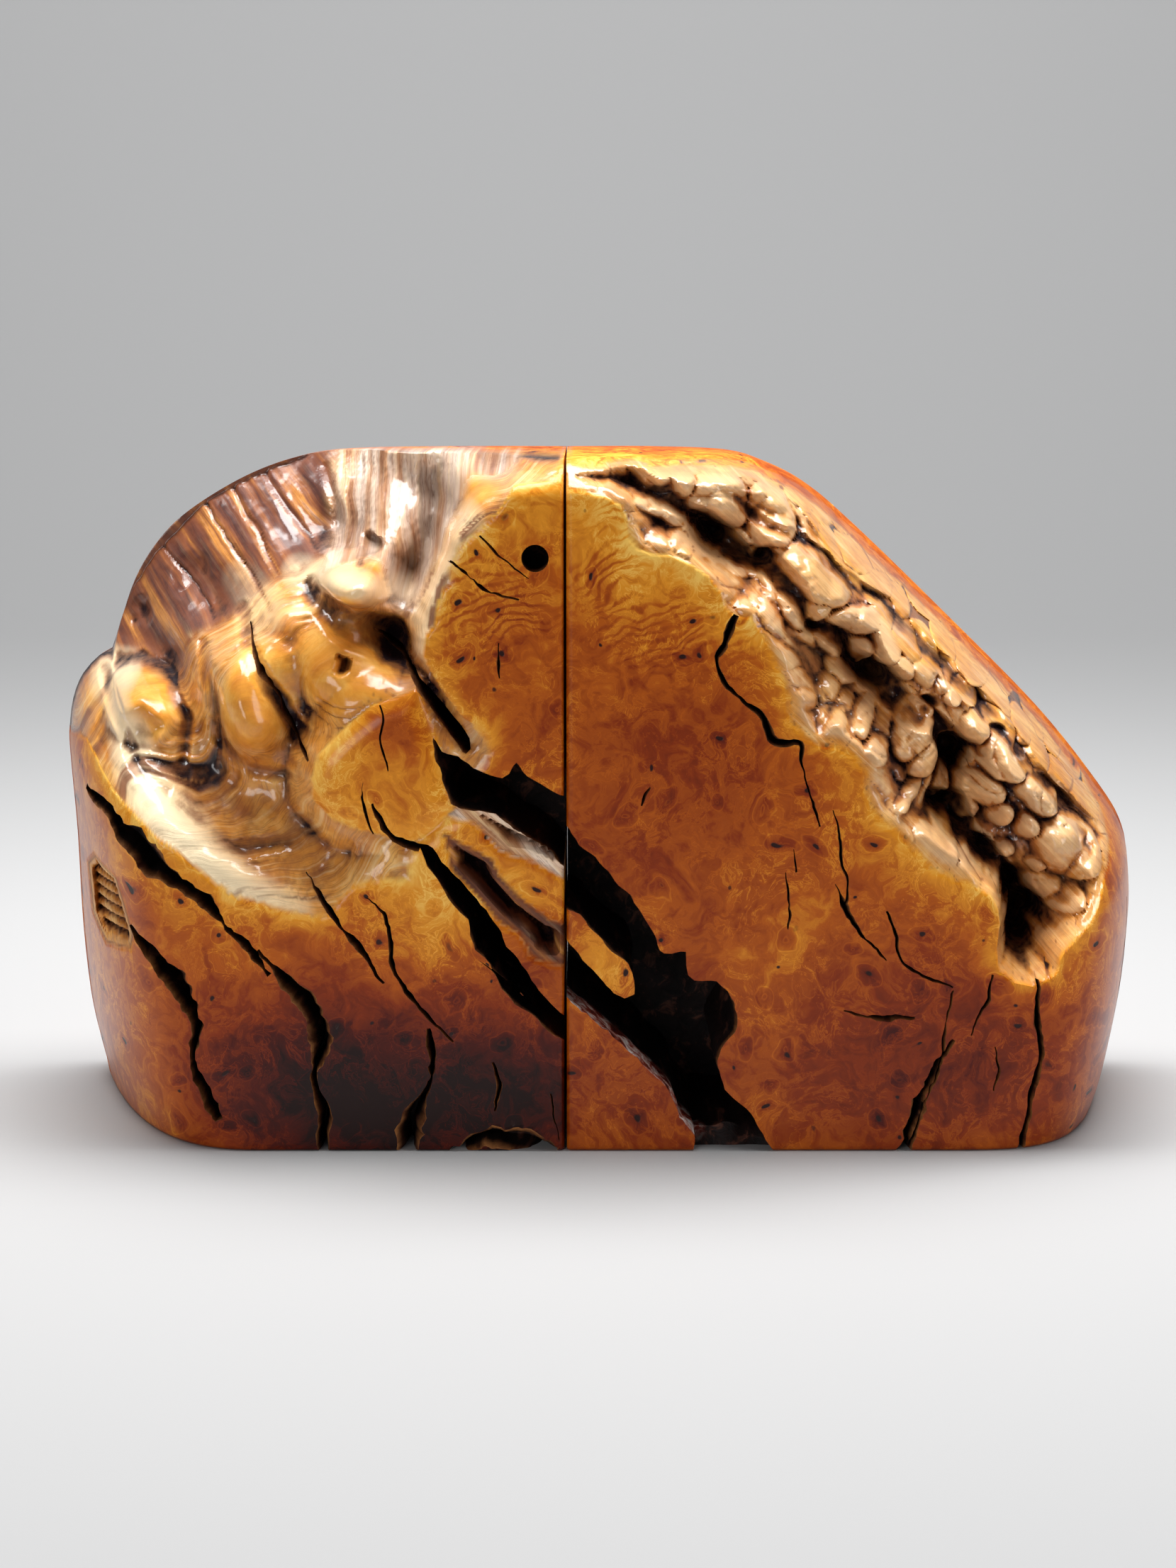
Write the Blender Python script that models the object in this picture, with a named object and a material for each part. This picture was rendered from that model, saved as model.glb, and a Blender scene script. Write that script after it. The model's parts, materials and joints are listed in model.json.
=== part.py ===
"""A pair of bookends sawn from one manzanita burl, standing together at the saw cut.

Both halves keep the burl's own skin: warts and lumps on the right, a weathered, flowing
trunk on the left. Between them the wood is cut flat and sanded, and it is open in
voids and drying cracks.

Each half is described in millimetres from its foot at the saw cut: "out" is the distance
from the cut, "up" the height above the table, and "deep" the distance behind the flat
sanded front. The left half is the mirrored one.
"""

import math
import random

import bmesh
import bpy
import numpy as np
from mathutils import Vector

MM = 0.001

# Driving dimensions, in millimetres.
HEIGHT = 150.0
THICKNESS = 80.0
SAW_GAP = 0.6
BACK_ROUNDING = 9.0
HOLE_RADIUS = 2.9
HOLE_DEPTH = 14.0
HOLE_OUT, HOLE_UP = 6.0, 129.5

# The deepest natural skin, and how far in from its edge it rolls over to its own depth.
DEEPEST_SKIN = 68.0
EDGE_ROLL = 6.0
EDGE_CURVE = 0.7
KNOB_CURVE = 0.7

# Cutters start in front of the wood, and voids and cracks narrow towards their floors.
FRONT_CLEARANCE = -4.0
VOID_TAPER = 0.06
CRACK_FLOOR_SHARE = 0.45
CRACK_STEP = 6.0

# The sheet of the front: cells a side, closer lines near the outline, and the angle up to
# which neighbouring faces become one.
FACE_CELLS = 68
LINE_PACKING = 1.15
FLAT_ANGLE = math.radians(0.7)

# The back edge as rings: depth, and distance in from the outline.
BACK_RINGS = [
    (THICKNESS - BACK_ROUNDING, 0.0), (THICKNESS - 2.5, 2.6), (THICKNESS, BACK_ROUNDING),
]

LEFT_COLOUR = (0.42, 0.15, 0.03)
RIGHT_COLOUR = (0.45, 0.17, 0.04)
WOOD_ROUGHNESS = 0.3
CLEAR_COAT = 0.4

# The outline of each half as seen from the front, from the foot up to the top of the cut.
LEFT_OUTLINE = [
    (110, 0), (110.8, 4.5), (112, 9.5), (114, 20), (115.5, 37.5), (116.2, 59.5), (117.2, 75),
    (117.5, 83.5), (116.5, 91), (114, 97), (110, 101.3), (107, 103), (106, 106), (101.5, 119),
    (95.5, 128.5), (88, 135.5), (75.5, 143), (63.5, 147.5), (51, 149.5), (26.5, 150), (0, 150),
]
RIGHT_OUTLINE = [
    (126.5, 0), (129, 9), (132.3, 28), (133.5, 43), (133.5, 51.5), (132, 60.5), (126.5, 70),
    (111.5, 88.5), (89, 111), (66.5, 132.5), (55, 142), (45, 147), (36.5, 149.3), (20, 150),
    (0, 150),
]

# How the sanded envelope falls away towards the outline: angle from the foot in degrees,
# depth at the outline, width of the rounding, and how late it turns.
LEFT_ROUNDING = [
    (0, 66, 44, 2.5), (40, 66, 44, 2.5), (55, 68, 20, 3.0), (75, 50, 12, 3.0),
    (84, 26, 9, 2.6), (90, 8, 8, 2.2),
]
RIGHT_ROUNDING = [
    (0, 66, 50, 4.7), (30, 70, 50, 4.7), (65, 70, 46, 4.7), (76, 44, 20, 4.0),
    (84, 22, 10, 3.0), (90, 8, 8, 2.2),
]

# Natural skin: the areas that the saw and the sander left alone.
RIGHT_SKIN = [
    (0, 144), (3.5, 143.5), (8, 142.5), (11.5, 140.5), (13, 137.5), (13, 134), (15, 131.5),
    (18.5, 130), (22, 130), (26, 128.5), (29.5, 125.5), (32.5, 122), (33, 119), (35.5, 117),
    (39, 116.5), (42, 111.5), (44, 108), (46.5, 101.5), (47.5, 94.5), (50.5, 90.5),
    (55.5, 89.5), (61, 87), (63.5, 83), (64.5, 75), (70, 71), (74.5, 66), (79.5, 61.5),
    (86, 59.5), (91.5, 56.5), (93.5, 50.5), (92.5, 45), (93.5, 40.5), (100.5, 37),
    (105.5, 39.5), (108, 44), (114.5, 50), (117.5, 59.5), (117.5, 65), (109, 79.5),
    (100.5, 91.5), (85.5, 109.5), (63.5, 128), (56, 133), (47.5, 138), (32, 146.5),
    (24, 156), (0, 156),
]
LEFT_SKIN = [
    (2.5, 146), (5.5, 145.5), (10, 144.5), (13, 140), (17, 135.5), (21.5, 131), (23.5, 127.5),
    (24, 124), (26, 120.5), (27, 116), (29, 112), (29.5, 109), (27, 104), (24, 100),
    (21.5, 95.5), (16.5, 92), (15, 88.5), (18, 82), (24, 75), (28.5, 71), (32, 67),
    (33, 60.5), (39, 60), (45.5, 59), (50, 53), (53, 52), (63, 53.5), (71.5, 57),
    (76, 60.5), (84.5, 67), (89, 71), (95.5, 75.5), (99.5, 79.5), (103, 83), (108, 86),
    (125, 90), (125, 160), (2.5, 160),
]
LEFT_ISLAND = [
    (31, 101.5), (35.5, 99.5), (40.5, 98), (45, 94.5), (49.5, 90.5), (52.5, 87), (54, 82),
    (53.5, 77.5), (49.5, 73.5), (45, 71.5), (39, 70), (34, 68), (28.5, 71), (23.5, 76.5),
    (25, 80.5), (26, 87), (28, 93), (29.5, 97.5),
]
LEFT_RECESS = [
    (26, 71), (19.5, 67.5), (15, 65), (13.5, 61.5), (9, 56.5), (3, 52), (-1, 50.5), (-1, 41),
    (4.5, 42), (7.5, 43.5), (8.5, 46), (10, 48.5), (13, 50), (15, 51.5), (19.5, 57), (24.5, 62),
]
LEFT_TORN = [
    (26, 74), (23, 76), (18, 77), (-1, 68), (-1, 59.5), (6.5, 64), (10.5, 65), (14, 66.5),
    (16.5, 69.5), (19.5, 72.5),
]
LEFT_FINS = [
    (110, 56.5), (106, 61), (98, 58.5), (96, 52.5), (94, 46), (95, 42.5), (103.5, 40.5),
    (109, 45),
]

# Depth of the natural skin at hand-read places: out, up, deep.
RIGHT_GUIDES = [
    (3, 147.5, 12), (12.5, 147.5, 23), (33, 134.5, 22), (37.5, 127.5, 23), (59.5, 110, 23),
    (68.5, 102.5, 24), (85, 85, 25), (87, 69, 24), (95, 54.5, 28), (100, 41.5, 32),
    (23.5, 149, 24), (32.5, 141, 18), (46.5, 129, 16), (59, 118.5, 16), (71.5, 106, 17),
    (90.5, 93.5, 20), (101.5, 81, 19), (109.5, 67, 21), (109, 54, 24),
    (22, 137, 12), (40, 122, 13), (52, 104, 12), (62, 95, 12), (75, 77, 13), (86, 65, 13),
    (32, 147, 30), (47.5, 138, 31), (63.5, 128, 32), (85.5, 109.5, 33), (100.5, 91.5, 34),
    (110, 79.5, 34), (119, 66, 36),
]
LEFT_GUIDES = [
    (1, 150, 8), (8, 150, 16), (15.5, 149.5, 31), (24, 150, 38), (33, 150, 41), (42, 150, 52),
    (51, 149.5, 63), (63, 147, 69), (75, 143, 70), (88, 135, 70), (95, 128, 70),
    (101, 119, 69), (106, 107, 66),
    (52, 146, 58), (53, 138, 50), (53, 130, 42), (44, 146, 51), (44, 138, 41), (46, 131, 34),
    (35, 146, 42), (35, 138, 36), (36, 130, 30), (38, 124, 25), (27, 146, 39), (27, 138, 34),
    (28, 130, 28), (31, 122, 22), (21, 147, 24), (20, 141, 13), (24, 134, 12), (27, 126, 11),
    (31, 117, 13), (33, 110, 20), (31, 103, 12),
    (54.5, 122.5, 22), (50, 126, 19), (45, 127, 19), (39, 124, 19), (36, 116, 19),
    (93, 124, 64), (80, 136, 64), (68, 142, 64), (58, 145, 62),
    (90, 116, 52), (78, 124, 50), (68, 131, 50), (60, 135, 52),
    (88, 108, 40), (78, 113, 37), (70, 118, 33), (62, 122, 30), (57, 126, 34),
    (76.5, 110, 25), (69.5, 112, 21), (71, 100, 9), (66, 92, 8), (78.5, 98.5, 17),
    (72.5, 86, 14), (62, 82, 14),
    (61, 117, 19), (53, 115, 14), (48, 105, 9), (55, 100, 10), (61, 98.5, 14), (54.5, 91, 12),
    (45.5, 93, 7), (39, 104, 13), (37, 110, 22),
    (84, 104, 30), (85, 97, 25), (81, 90, 21), (76, 80, 17), (66, 73, 13), (57, 66, 9),
    (50, 61, 6), (44, 64, 4),
    (97, 105, 52), (89, 104, 42), (93, 98, 27), (101, 94, 32), (93, 90, 19), (87, 88, 18),
    (102, 86, 26), (95, 82, 14), (88, 80, 12), (98, 80, 16), (92, 75, 9), (85, 69, 5),
    (78, 63, 3), (69, 58, 2), (60, 55, 1), (113, 96, 60), (108, 92, 44),
]

# Swellings that stand out of the natural skin: out, up, half length, half width, tilt of
# the length in degrees, height.
LEFT_KNOBS = [
    (66, 99, 15, 10, -72, 6), (47, 105, 15, 13, 30, 5), (45, 124, 12, 6, 8, 6),
    (95, 95, 12, 9, 15, 6), (90, 79, 12, 6, 35, 3), (75, 62, 22, 5, 34, 2.5),
    (19, 143, 8, 7, 0, 4), (25, 131, 5, 9, 15, 4), (61, 117, 8, 6, 25, 4),
    (108, 95, 7, 9, 0, 3),
]
RIGHT_KNOBS = [
    (25.5, 145.5, 3.6, 5.2, 0, 5), (33, 141, 7.5, 6.2, -20, 7), (44, 136.5, 8.0, 6.6, -40, 7),
    (19.5, 139.5, 7.5, 3.2, -38, 4), (53.5, 125, 11.0, 5.2, -38, 6.5),
    (55, 118.5, 4.2, 3.8, 40, 5), (49, 117.5, 5.5, 3.4, -50, 4), (70, 110, 4.6, 7.0, 5, 8),
    (62.5, 114.5, 7.2, 4.0, -12, 7), (65.5, 125, 4.8, 4.4, 0, 5), (72, 118.5, 4.4, 4.4, 0, 5),
    (78.5, 112, 5.0, 5.0, 0, 5), (85.5, 102.5, 5.8, 5.8, 0, 5.5), (77.5, 105, 4.6, 5.8, 0, 5.5),
    (58, 106.5, 6.5, 4.0, -48, 4.5), (64.5, 94, 3.6, 4.4, -10, 4), (67, 87.5, 3.8, 4.2, -30, 4),
    (75.5, 90, 5.8, 8.0, -15, 8), (89.5, 90.5, 4.8, 4.4, 0, 5), (94, 95, 5.6, 4.4, -20, 5),
    (97.5, 84.5, 7.0, 5.8, -30, 6), (105, 75.5, 6.6, 5.0, -25, 5), (91.5, 76, 6.8, 5.8, -10, 6.5),
    (96.5, 63, 4.0, 4.0, 0, 5.5), (110.5, 64, 9.0, 7.5, -20, 7), (107, 54.5, 7.0, 4.8, -10, 5),
    (80.5, 68.5, 6.0, 5.4, -20, 5.5), (84, 78, 3.8, 5.0, 0, 5), (60, 99, 6, 6, 0, 3),
]
RIGHT_WART_SEED = 5
RIGHT_WART_STEP = 8.0
RIGHT_WART_HEIGHT = 2.6

# Voids that open at the front, as outlines, each with the depth of its floor.
LEFT_VOIDS = {
    "upper_void": (42, [
        (-3, 78), (1, 79), (3.5, 80.5), (7.5, 83), (10, 86), (13, 82.5), (18, 84),
        (22.5, 87.5), (26, 88), (28, 91), (27.5, 87), (26, 82), (24.5, 78), (22.5, 76),
        (15, 74.5), (10.5, 71.5), (6.5, 68.5), (3, 66), (-3, 62),
    ]),
    "ravine": (44, [
        (53, 121), (50, 118.5), (45.5, 117), (39.5, 115), (35, 111), (31.5, 106.5),
        (27.5, 104), (23, 99), (18.5, 92.5), (19, 86), (24.5, 91.5), (28.5, 96.5),
        (33.5, 102.5), (36.5, 106), (39.5, 108.5), (42.5, 111), (47, 112.5), (51.5, 116),
    ]),
    "slanting_slot": (38, [
        (31.5, 68), (28, 67), (24.5, 62), (21.5, 59.5), (19.5, 57), (15, 51.5), (13, 47.5),
        (11, 44.5), (8, 40.5), (4.5, 35), (-1, 29), (-1, 27.5), (9.5, 35.5), (13.5, 38.5),
        (18, 44), (19, 45), (21, 51), (24, 55.5), (27.5, 60.5), (30, 64.5),
    ]),
    "lower_slot": (26, [
        (18.5, 43), (15.5, 40), (13.5, 38.5), (9.5, 35.5), (-1, 28), (-1, 24), (3.5, 27),
        (7, 30.5), (12.5, 35), (14.5, 38),
    ]),
}
RIGHT_VOIDS = {
    "great_void": (44, [
        (-3, 75), (4, 67.5), (9.5, 61), (14.5, 55.5), (18.5, 49), (21, 44), (25.5, 44.5),
        (26, 41), (28, 38.5), (32.5, 38), (35.5, 34.5), (36.5, 30.5), (36, 26.5), (33, 22),
        (33, 18), (35.5, 13), (40, 8.5), (43, 4), (46, -4), (28, -4), (28, 3.5), (24.5, 8),
        (23, 12.5), (19.5, 16.5), (14, 22), (5.5, 29.5), (-3, 38), (-3, 50), (4.5, 41.5),
        (10.5, 35.5), (12.5, 34.5), (14.5, 35), (13.5, 41), (11, 44), (6.5, 48.5),
        (2.5, 52.5), (-3, 58),
    ]),
}

# Drying cracks: half width and depth, then the run of the crack as (out, up, widening).
LEFT_CRACKS = {
    "shoulder_crevice": (2.6, 12, [
        (107, 76.5, 0.3), (100, 73.5, 0.8), (91, 65.5, 1.2), (84, 60.5, 1.1), (78, 56.5, 0.7),
        (74, 51, 0.5), (69, 46, 0.4), (63.5, 39.5, 0.35),
    ]),
    "middle_crack": (2.4, 12, [
        (66, 45, 0.2), (61, 39, 0.6), (57, 35, 0.9), (53.5, 29, 1.2), (53.2, 22, 1.1),
        (54.5, 15.5, 0.4), (52.5, 9, 0.8), (52.5, 3, 0.6), (53, -3, 0.5),
    ]),
    "side_crack": (2.2, 12, [
        (95.5, 48, 0.2), (88.5, 41.5, 1.0), (83, 35.5, 1.2), (80, 28, 1.2), (81, 21, 0.8),
        (78, 13, 0.9), (75, 7, 0.4),
    ]),
    "face_crack": (1.1, 9, [
        (56, 61, 0.3), (50, 53, 0.9), (46, 47.5, 1.0), (42.5, 43, 0.7), (39, 37.5, 0.3),
    ]),
    "short_crack": (0.8, 8, [
        (42.5, 56.5, 0.3), (39, 53, 1), (37.5, 46.5, 0.8), (37, 41.5, 1), (33.5, 35, 1),
        (24, 24.5, 0.3),
    ]),
    "foot_crack": (1.5, 12, [
        (29.5, 27.5, 0.3), (28.5, 22, 0.8), (29, 17, 0.9), (31, 11.5, 1), (33.5, 5, 1.8),
        (34, -3, 2.2),
    ]),
    "foot_hollow": (3.2, 9, [(24.5, -1, 0.6), (18, 2.5, 1), (9, 2, 1), (2, -1, 0.5)]),
    "lump_crack": (1.0, 12, [
        (69.5, 113.5, 0.3), (66, 106, 1), (61.5, 98, 1), (58, 90, 1), (55, 85.5, 0.4),
    ]),
    "heart_crack": (0.7, 8, [
        (41, 77, 0.3), (39, 73, 0.9), (37, 69.5, 1.3), (31, 67, 1.4),
    ]),
    "strip_crack": (0.8, 8, [(24, 129, 0.8), (19, 125, 1), (16, 122.5, 0.6), (9.5, 120.5, 0.3)]),
}
RIGHT_CRACKS = {
    "island_crack": (0.9, 10, [
        (36, 116.5, 1), (33, 110.5, 1), (32, 107.5, 0.8), (34, 102.5, 1), (41, 96.5, 1),
        (45, 90.5, 1.1), (50, 90, 0.8), (50.5, 84, 0.6), (54.5, 72, 0.3),
    ]),
    "flat_slit": (0.75, 8, [(60, 31.5, 0.3), (67, 30, 1), (75.5, 30, 0.3)]),
    "right_crack": (0.8, 8, [
        (58, 59.5, 0.3), (60, 54, 1), (65, 46.5, 1), (71, 48, 0.2), (74.5, 40.5, 1),
        (83.5, 36.5, 0.3),
    ]),
    "foot_fork": (1.5, 10, [
        (84, 25, 0.3), (80, 18, 1), (76.5, 10, 1), (72.5, -3, 1.1),
    ]),
    "corner_crack": (0.8, 8, [
        (102, 38, 0.4), (102, 30, 1), (103.3, 22, 1), (101.5, 12, 1), (99, -3, 0.8),
    ]),
}


def dense(points, step=2.0):
    """A smooth run of points through the given ones (Catmull-Rom)."""
    run = [np.array(p, float) for p in points]
    run = [2 * run[0] - run[1], *run, 2 * run[-1] - run[-2]]
    found = []
    for before, start, end, after in zip(run, run[1:], run[2:], run[3:]):
        count = max(1, int(math.dist(start[:2], end[:2]) / step))
        for k in range(count):
            t = k / count
            found.append(
                0.5 * (2 * start + (end - before) * t
                       + (2 * before - 5 * start + 4 * end - after) * t**2
                       + (3 * start - before - 3 * end + after) * t**3)
            )
    return [*found, run[-2]]


def inside_distance(out, up, corners):
    """Distance to a closed outline, positive inside it and negative outside."""
    nearest = np.full(out.shape, np.inf)
    within = np.zeros(out.shape, bool)
    for (ax, az), (bx, bz) in zip(corners, corners[1:] + corners[:1]):
        ex, ez = bx - ax, bz - az
        along = ((out - ax) * ex + (up - az) * ez) / (ex * ex + ez * ez)
        along = np.clip(along, 0, 1)
        nearest = np.minimum(nearest, np.hypot(out - ax - along * ex, up - az - along * ez))
        if az != bz:
            within ^= ((az > up) != (bz > up)) & (out < ax + ex * (up - az) / ez)
    return np.where(within, nearest, -nearest)


class Relief:
    """Depth that passes smoothly through guide points (a multiquadric surface)."""

    SOFTNESS = 5.0

    def __init__(self, guides):
        self.places = np.array([g[:2] for g in guides], float)
        depths = np.array([g[2] for g in guides], float)
        self.middle = depths.mean()
        gaps = np.linalg.norm(self.places[:, None] - self.places[None], axis=2)
        self.weights = np.linalg.solve(self.kernel(gaps), depths - self.middle)

    def kernel(self, gaps):
        return np.sqrt(gaps**2 + self.SOFTNESS**2)

    def __call__(self, out, up):
        total = np.full(out.shape, self.middle)
        for (gx, gz), weight in zip(self.places, self.weights):
            total += weight * self.kernel(np.hypot(out - gx, up - gz))
        return total


class Half:
    """One bookend: its outline, its sanded envelope and its natural skin."""

    def __init__(self, outline, rounding, guides, skins, islands, knobs, side):
        self.outline = dense(outline)
        self.angles = np.array([math.atan2(z, x) for x, z in self.outline])
        self.reaches = np.array([math.hypot(x, z) for x, z in self.outline])
        self.rounding = np.array(rounding, float)
        self.relief = Relief(guides)
        self.skins = skins
        self.islands = islands
        self.knobs = knobs
        self.side = side

    def reach(self, angle):
        return np.interp(angle, self.angles, self.reaches)

    def envelope(self, out, up):
        """Depth of the sanded surface."""
        angle = np.arctan2(up, out)
        inward = self.reach(angle) - np.hypot(out, up)
        turns = np.degrees(angle)
        edge, width, late = (
            np.interp(turns, self.rounding[:, 0], self.rounding[:, k]) for k in (1, 2, 3)
        )
        return edge * np.clip(1 - inward / width, 0, 1) ** late

    def skin(self, out, up):
        """Depth of the natural surface."""
        depth = self.relief(out, up)
        risen = np.zeros(out.shape)
        for x, z, long, wide, tilt, height in self.knobs:
            c, s = math.cos(math.radians(tilt)), math.sin(math.radians(tilt))
            dx, dz = out - x, up - z
            spread = ((dx * c + dz * s) / long) ** 2 + ((dz * c - dx * s) / wide) ** 2
            risen = np.maximum(risen, height * np.clip(1 - spread, 0, 1) ** KNOB_CURVE)
        return np.minimum(depth - risen, DEEPEST_SKIN)

    def front(self, out, up):
        """Depth of the finished front: sanded, or natural where the skin lies lower."""
        sanded = self.envelope(out, up)
        natural = np.maximum(self.skin(out, up), sanded)
        uncut = np.full(out.shape, -1e3)
        for skin in self.skins:
            uncut = np.maximum(uncut, inside_distance(out, up, skin))
        for island in self.islands:
            uncut = np.minimum(uncut, -inside_distance(out, up, island))
        blend = np.clip(uncut / EDGE_ROLL, 0, 1) ** EDGE_CURVE
        return sanded + blend * (natural - sanded)


def warts(step, height, seed, corners):
    """Round warts scattered over the skin as knobs, on a jittered lattice."""
    draw = random.Random(seed)
    found = []
    rows = int(HEIGHT / step)
    for row in range(rows + 1):
        for column in range(rows + 1):
            out = (column + 0.5 * (row % 2) + draw.uniform(-0.25, 0.25)) * step
            up = (row + draw.uniform(-0.25, 0.25)) * step
            size = step * draw.uniform(0.5, 0.68)
            rise = height * draw.uniform(0.6, 1.2)
            if inside_distance(np.array([out]), np.array([up]), corners)[0] > 0.4 * size:
                found.append((out, up, size, size, 0, rise))
    return found


def front_grid(half, cells):
    """A square sheet wrapped over the front of a half, from cut and foot to the outline."""
    mesh = bmesh.new()
    bmesh.ops.create_grid(mesh, x_segments=cells, y_segments=cells, size=1)
    flat = np.array([v.co[:2] for v in mesh.verts])
    across, along = 1 - (0.5 - flat.T / 2) ** LINE_PACKING
    x = across * np.sqrt(1 - along**2 / 2)
    z = along * np.sqrt(1 - across**2 / 2)
    angle = np.arctan2(z, x)
    distance = np.hypot(x, z) * half.reach(angle)
    out, up = distance * np.cos(angle), distance * np.sin(angle)
    deep = half.front(out, up)
    for vert, place in zip(mesh.verts, np.stack([out, deep, up], axis=1)):
        vert.co = place
    return mesh


def close_back(mesh, half):
    """Carries the rim of the sheet straight back, rounds the outer edge and closes it."""
    rim = [e for e in mesh.edges if e.is_boundary]
    for deep, inward in BACK_RINGS:
        grown = bmesh.ops.extrude_edge_only(mesh, edges=rim)["geom"]
        rim = [e for e in grown if isinstance(e, bmesh.types.BMEdge)]
        for vert in {v for e in rim for v in e.verts}:
            distance = math.hypot(vert.co.x, vert.co.z)
            share = 1 - inward / max(distance, 2 * BACK_ROUNDING)
            vert.co.x *= share
            vert.co.z *= share
            vert.co.y = deep
    bmesh.ops.edgeloop_fill(mesh, edges=rim)
    bmesh.ops.recalc_face_normals(mesh, faces=mesh.faces)


def placed(mesh, side):
    """From the half's own millimetres to the model's metres."""
    for vert in mesh.verts:
        out, deep, up = vert.co
        vert.co = Vector((
            SEAM_X + side * (out + SAW_GAP / 2), deep - THICKNESS / 2, up
        )) * MM
    if side < 0:
        bmesh.ops.reverse_faces(mesh, faces=mesh.faces)


LEFT_REACH = max(x for x, _ in dense(LEFT_OUTLINE))
RIGHT_REACH = max(x for x, _ in dense(RIGHT_OUTLINE))
SEAM_X = (LEFT_REACH - RIGHT_REACH) / 2


def new_object(name, mesh, collection):
    data = bpy.data.meshes.new(name)
    mesh.to_mesh(data)
    mesh.free()
    made = bpy.data.objects.new(name, data)
    collection.objects.link(made)
    return made


def void_cutter(name, half, floor, corners, collection):
    """A void: its outline pushed back from in front of the wood, narrowing inwards."""
    mesh = bmesh.new()
    rim = [mesh.verts.new((x, FRONT_CLEARANCE, z)) for x, z in corners]
    face = mesh.faces.new(rim)
    grown = bmesh.ops.extrude_face_region(mesh, geom=[face])["geom"]
    middle = np.mean(corners, axis=0)
    for vert in (v for v in grown if isinstance(v, bmesh.types.BMVert)):
        vert.co.y = floor
        vert.co.x += (middle[0] - vert.co.x) * VOID_TAPER
        vert.co.z += (middle[1] - vert.co.z) * VOID_TAPER
    bmesh.ops.recalc_face_normals(mesh, faces=mesh.faces)
    placed(mesh, half.side)
    bmesh.ops.recalc_face_normals(mesh, faces=mesh.faces)
    return new_object(name, mesh, collection)


def crack_cutter(name, half, width, depth, run, collection):
    """A crack: a blade that follows its run, wide at the front and thin at the back."""
    mesh = bmesh.new()
    stations = dense(run, step=CRACK_STEP)
    levels = half.front(np.array([s[0] for s in stations]), np.array([s[1] for s in stations]))
    rings = []
    for k, (out, up, widening) in enumerate(stations):
        ahead = stations[min(k + 1, len(stations) - 1)] - stations[max(k - 1, 0)]
        across = np.array([ahead[1], -ahead[0]]) / math.hypot(ahead[0], ahead[1])
        spread = across * width * widening
        inner = spread * CRACK_FLOOR_SHARE
        rings.append([
            mesh.verts.new((out + spread[0], FRONT_CLEARANCE, up + spread[1])),
            mesh.verts.new((out - spread[0], FRONT_CLEARANCE, up - spread[1])),
            mesh.verts.new((out - inner[0], levels[k] + depth, up - inner[1])),
            mesh.verts.new((out + inner[0], levels[k] + depth, up + inner[1])),
        ])
    for near, far in zip(rings, rings[1:]):
        for k in range(4):
            mesh.faces.new((near[k], near[(k + 1) % 4], far[(k + 1) % 4], far[k]))
    mesh.faces.new(rings[0])
    mesh.faces.new(rings[-1])
    placed(mesh, half.side)
    bmesh.ops.recalc_face_normals(mesh, faces=mesh.faces)
    return new_object(name, mesh, collection)


def hole_cutter(name, half, collection):
    """The drilled hole in the sanded strip."""
    mesh = bmesh.new()
    bmesh.ops.create_cone(
        mesh, cap_ends=True, segments=24, radius1=HOLE_RADIUS, radius2=HOLE_RADIUS,
        depth=HOLE_DEPTH * 2,
    )
    for vert in mesh.verts:
        vert.co = Vector((HOLE_OUT + vert.co.x, vert.co.z, HOLE_UP - vert.co.y))
    placed(mesh, half.side)
    bmesh.ops.recalc_face_normals(mesh, faces=mesh.faces)
    return new_object(name, mesh, collection)


def wood(name, colour):
    """Plain varnished wood, for a look at the solids alone."""
    material = bpy.data.materials.new(name)
    material.use_nodes = True
    shader = material.node_tree.nodes["Principled BSDF"]
    shader.inputs["Base Color"].default_value = (*colour, 1)
    shader.inputs["Roughness"].default_value = WOOD_ROUGHNESS
    shader.inputs["Coat Weight"].default_value = CLEAR_COAT
    return material


def bookend(name, half, cutters, colour, parts):
    """The solid half, with its flat faces kept as single faces, then cut by its voids."""
    mesh = front_grid(half, FACE_CELLS)
    close_back(mesh, half)
    bmesh.ops.dissolve_limit(
        mesh, angle_limit=FLAT_ANGLE, verts=mesh.verts, edges=mesh.edges,
        use_dissolve_boundaries=False,
    )
    bmesh.ops.triangulate(mesh, faces=[f for f in mesh.faces if len(f.verts) > 4])
    placed(mesh, half.side)
    bmesh.ops.recalc_face_normals(mesh, faces=mesh.faces)
    body = new_object(name, mesh, parts)
    body.data.materials.append(wood(f"{name}_wood", colour))
    cut = body.modifiers.new("voids and cracks", "BOOLEAN")
    cut.operation = "DIFFERENCE"
    cut.solver = "EXACT"
    cut.operand_type = "COLLECTION"
    cut.collection = cutters
    drop_scraps(body)
    return body


def drop_scraps(body):
    """Applies the cut and keeps the largest piece: slivers between two voids fall off."""
    graph = bpy.context.evaluated_depsgraph_get()
    mesh = bmesh.new()
    mesh.from_mesh(body.evaluated_get(graph).to_mesh())
    body.modifiers.clear()
    waiting = set(mesh.verts)
    pieces = []
    while waiting:
        piece, border = set(), [next(iter(waiting))]
        while border:
            vert = border.pop()
            if vert in waiting:
                waiting.discard(vert)
                piece.add(vert)
                border.extend(e.other_vert(vert) for e in vert.link_edges)
        pieces.append(piece)
    pieces.sort(key=len)
    scraps = [v for piece in pieces[:-1] for v in piece]
    bmesh.ops.delete(mesh, geom=scraps, context="VERTS")
    mesh.to_mesh(body.data)
    mesh.free()


def cutter_set(name):
    found = bpy.data.collections.new(name)
    bpy.context.scene.collection.children.link(found)
    return found


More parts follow.
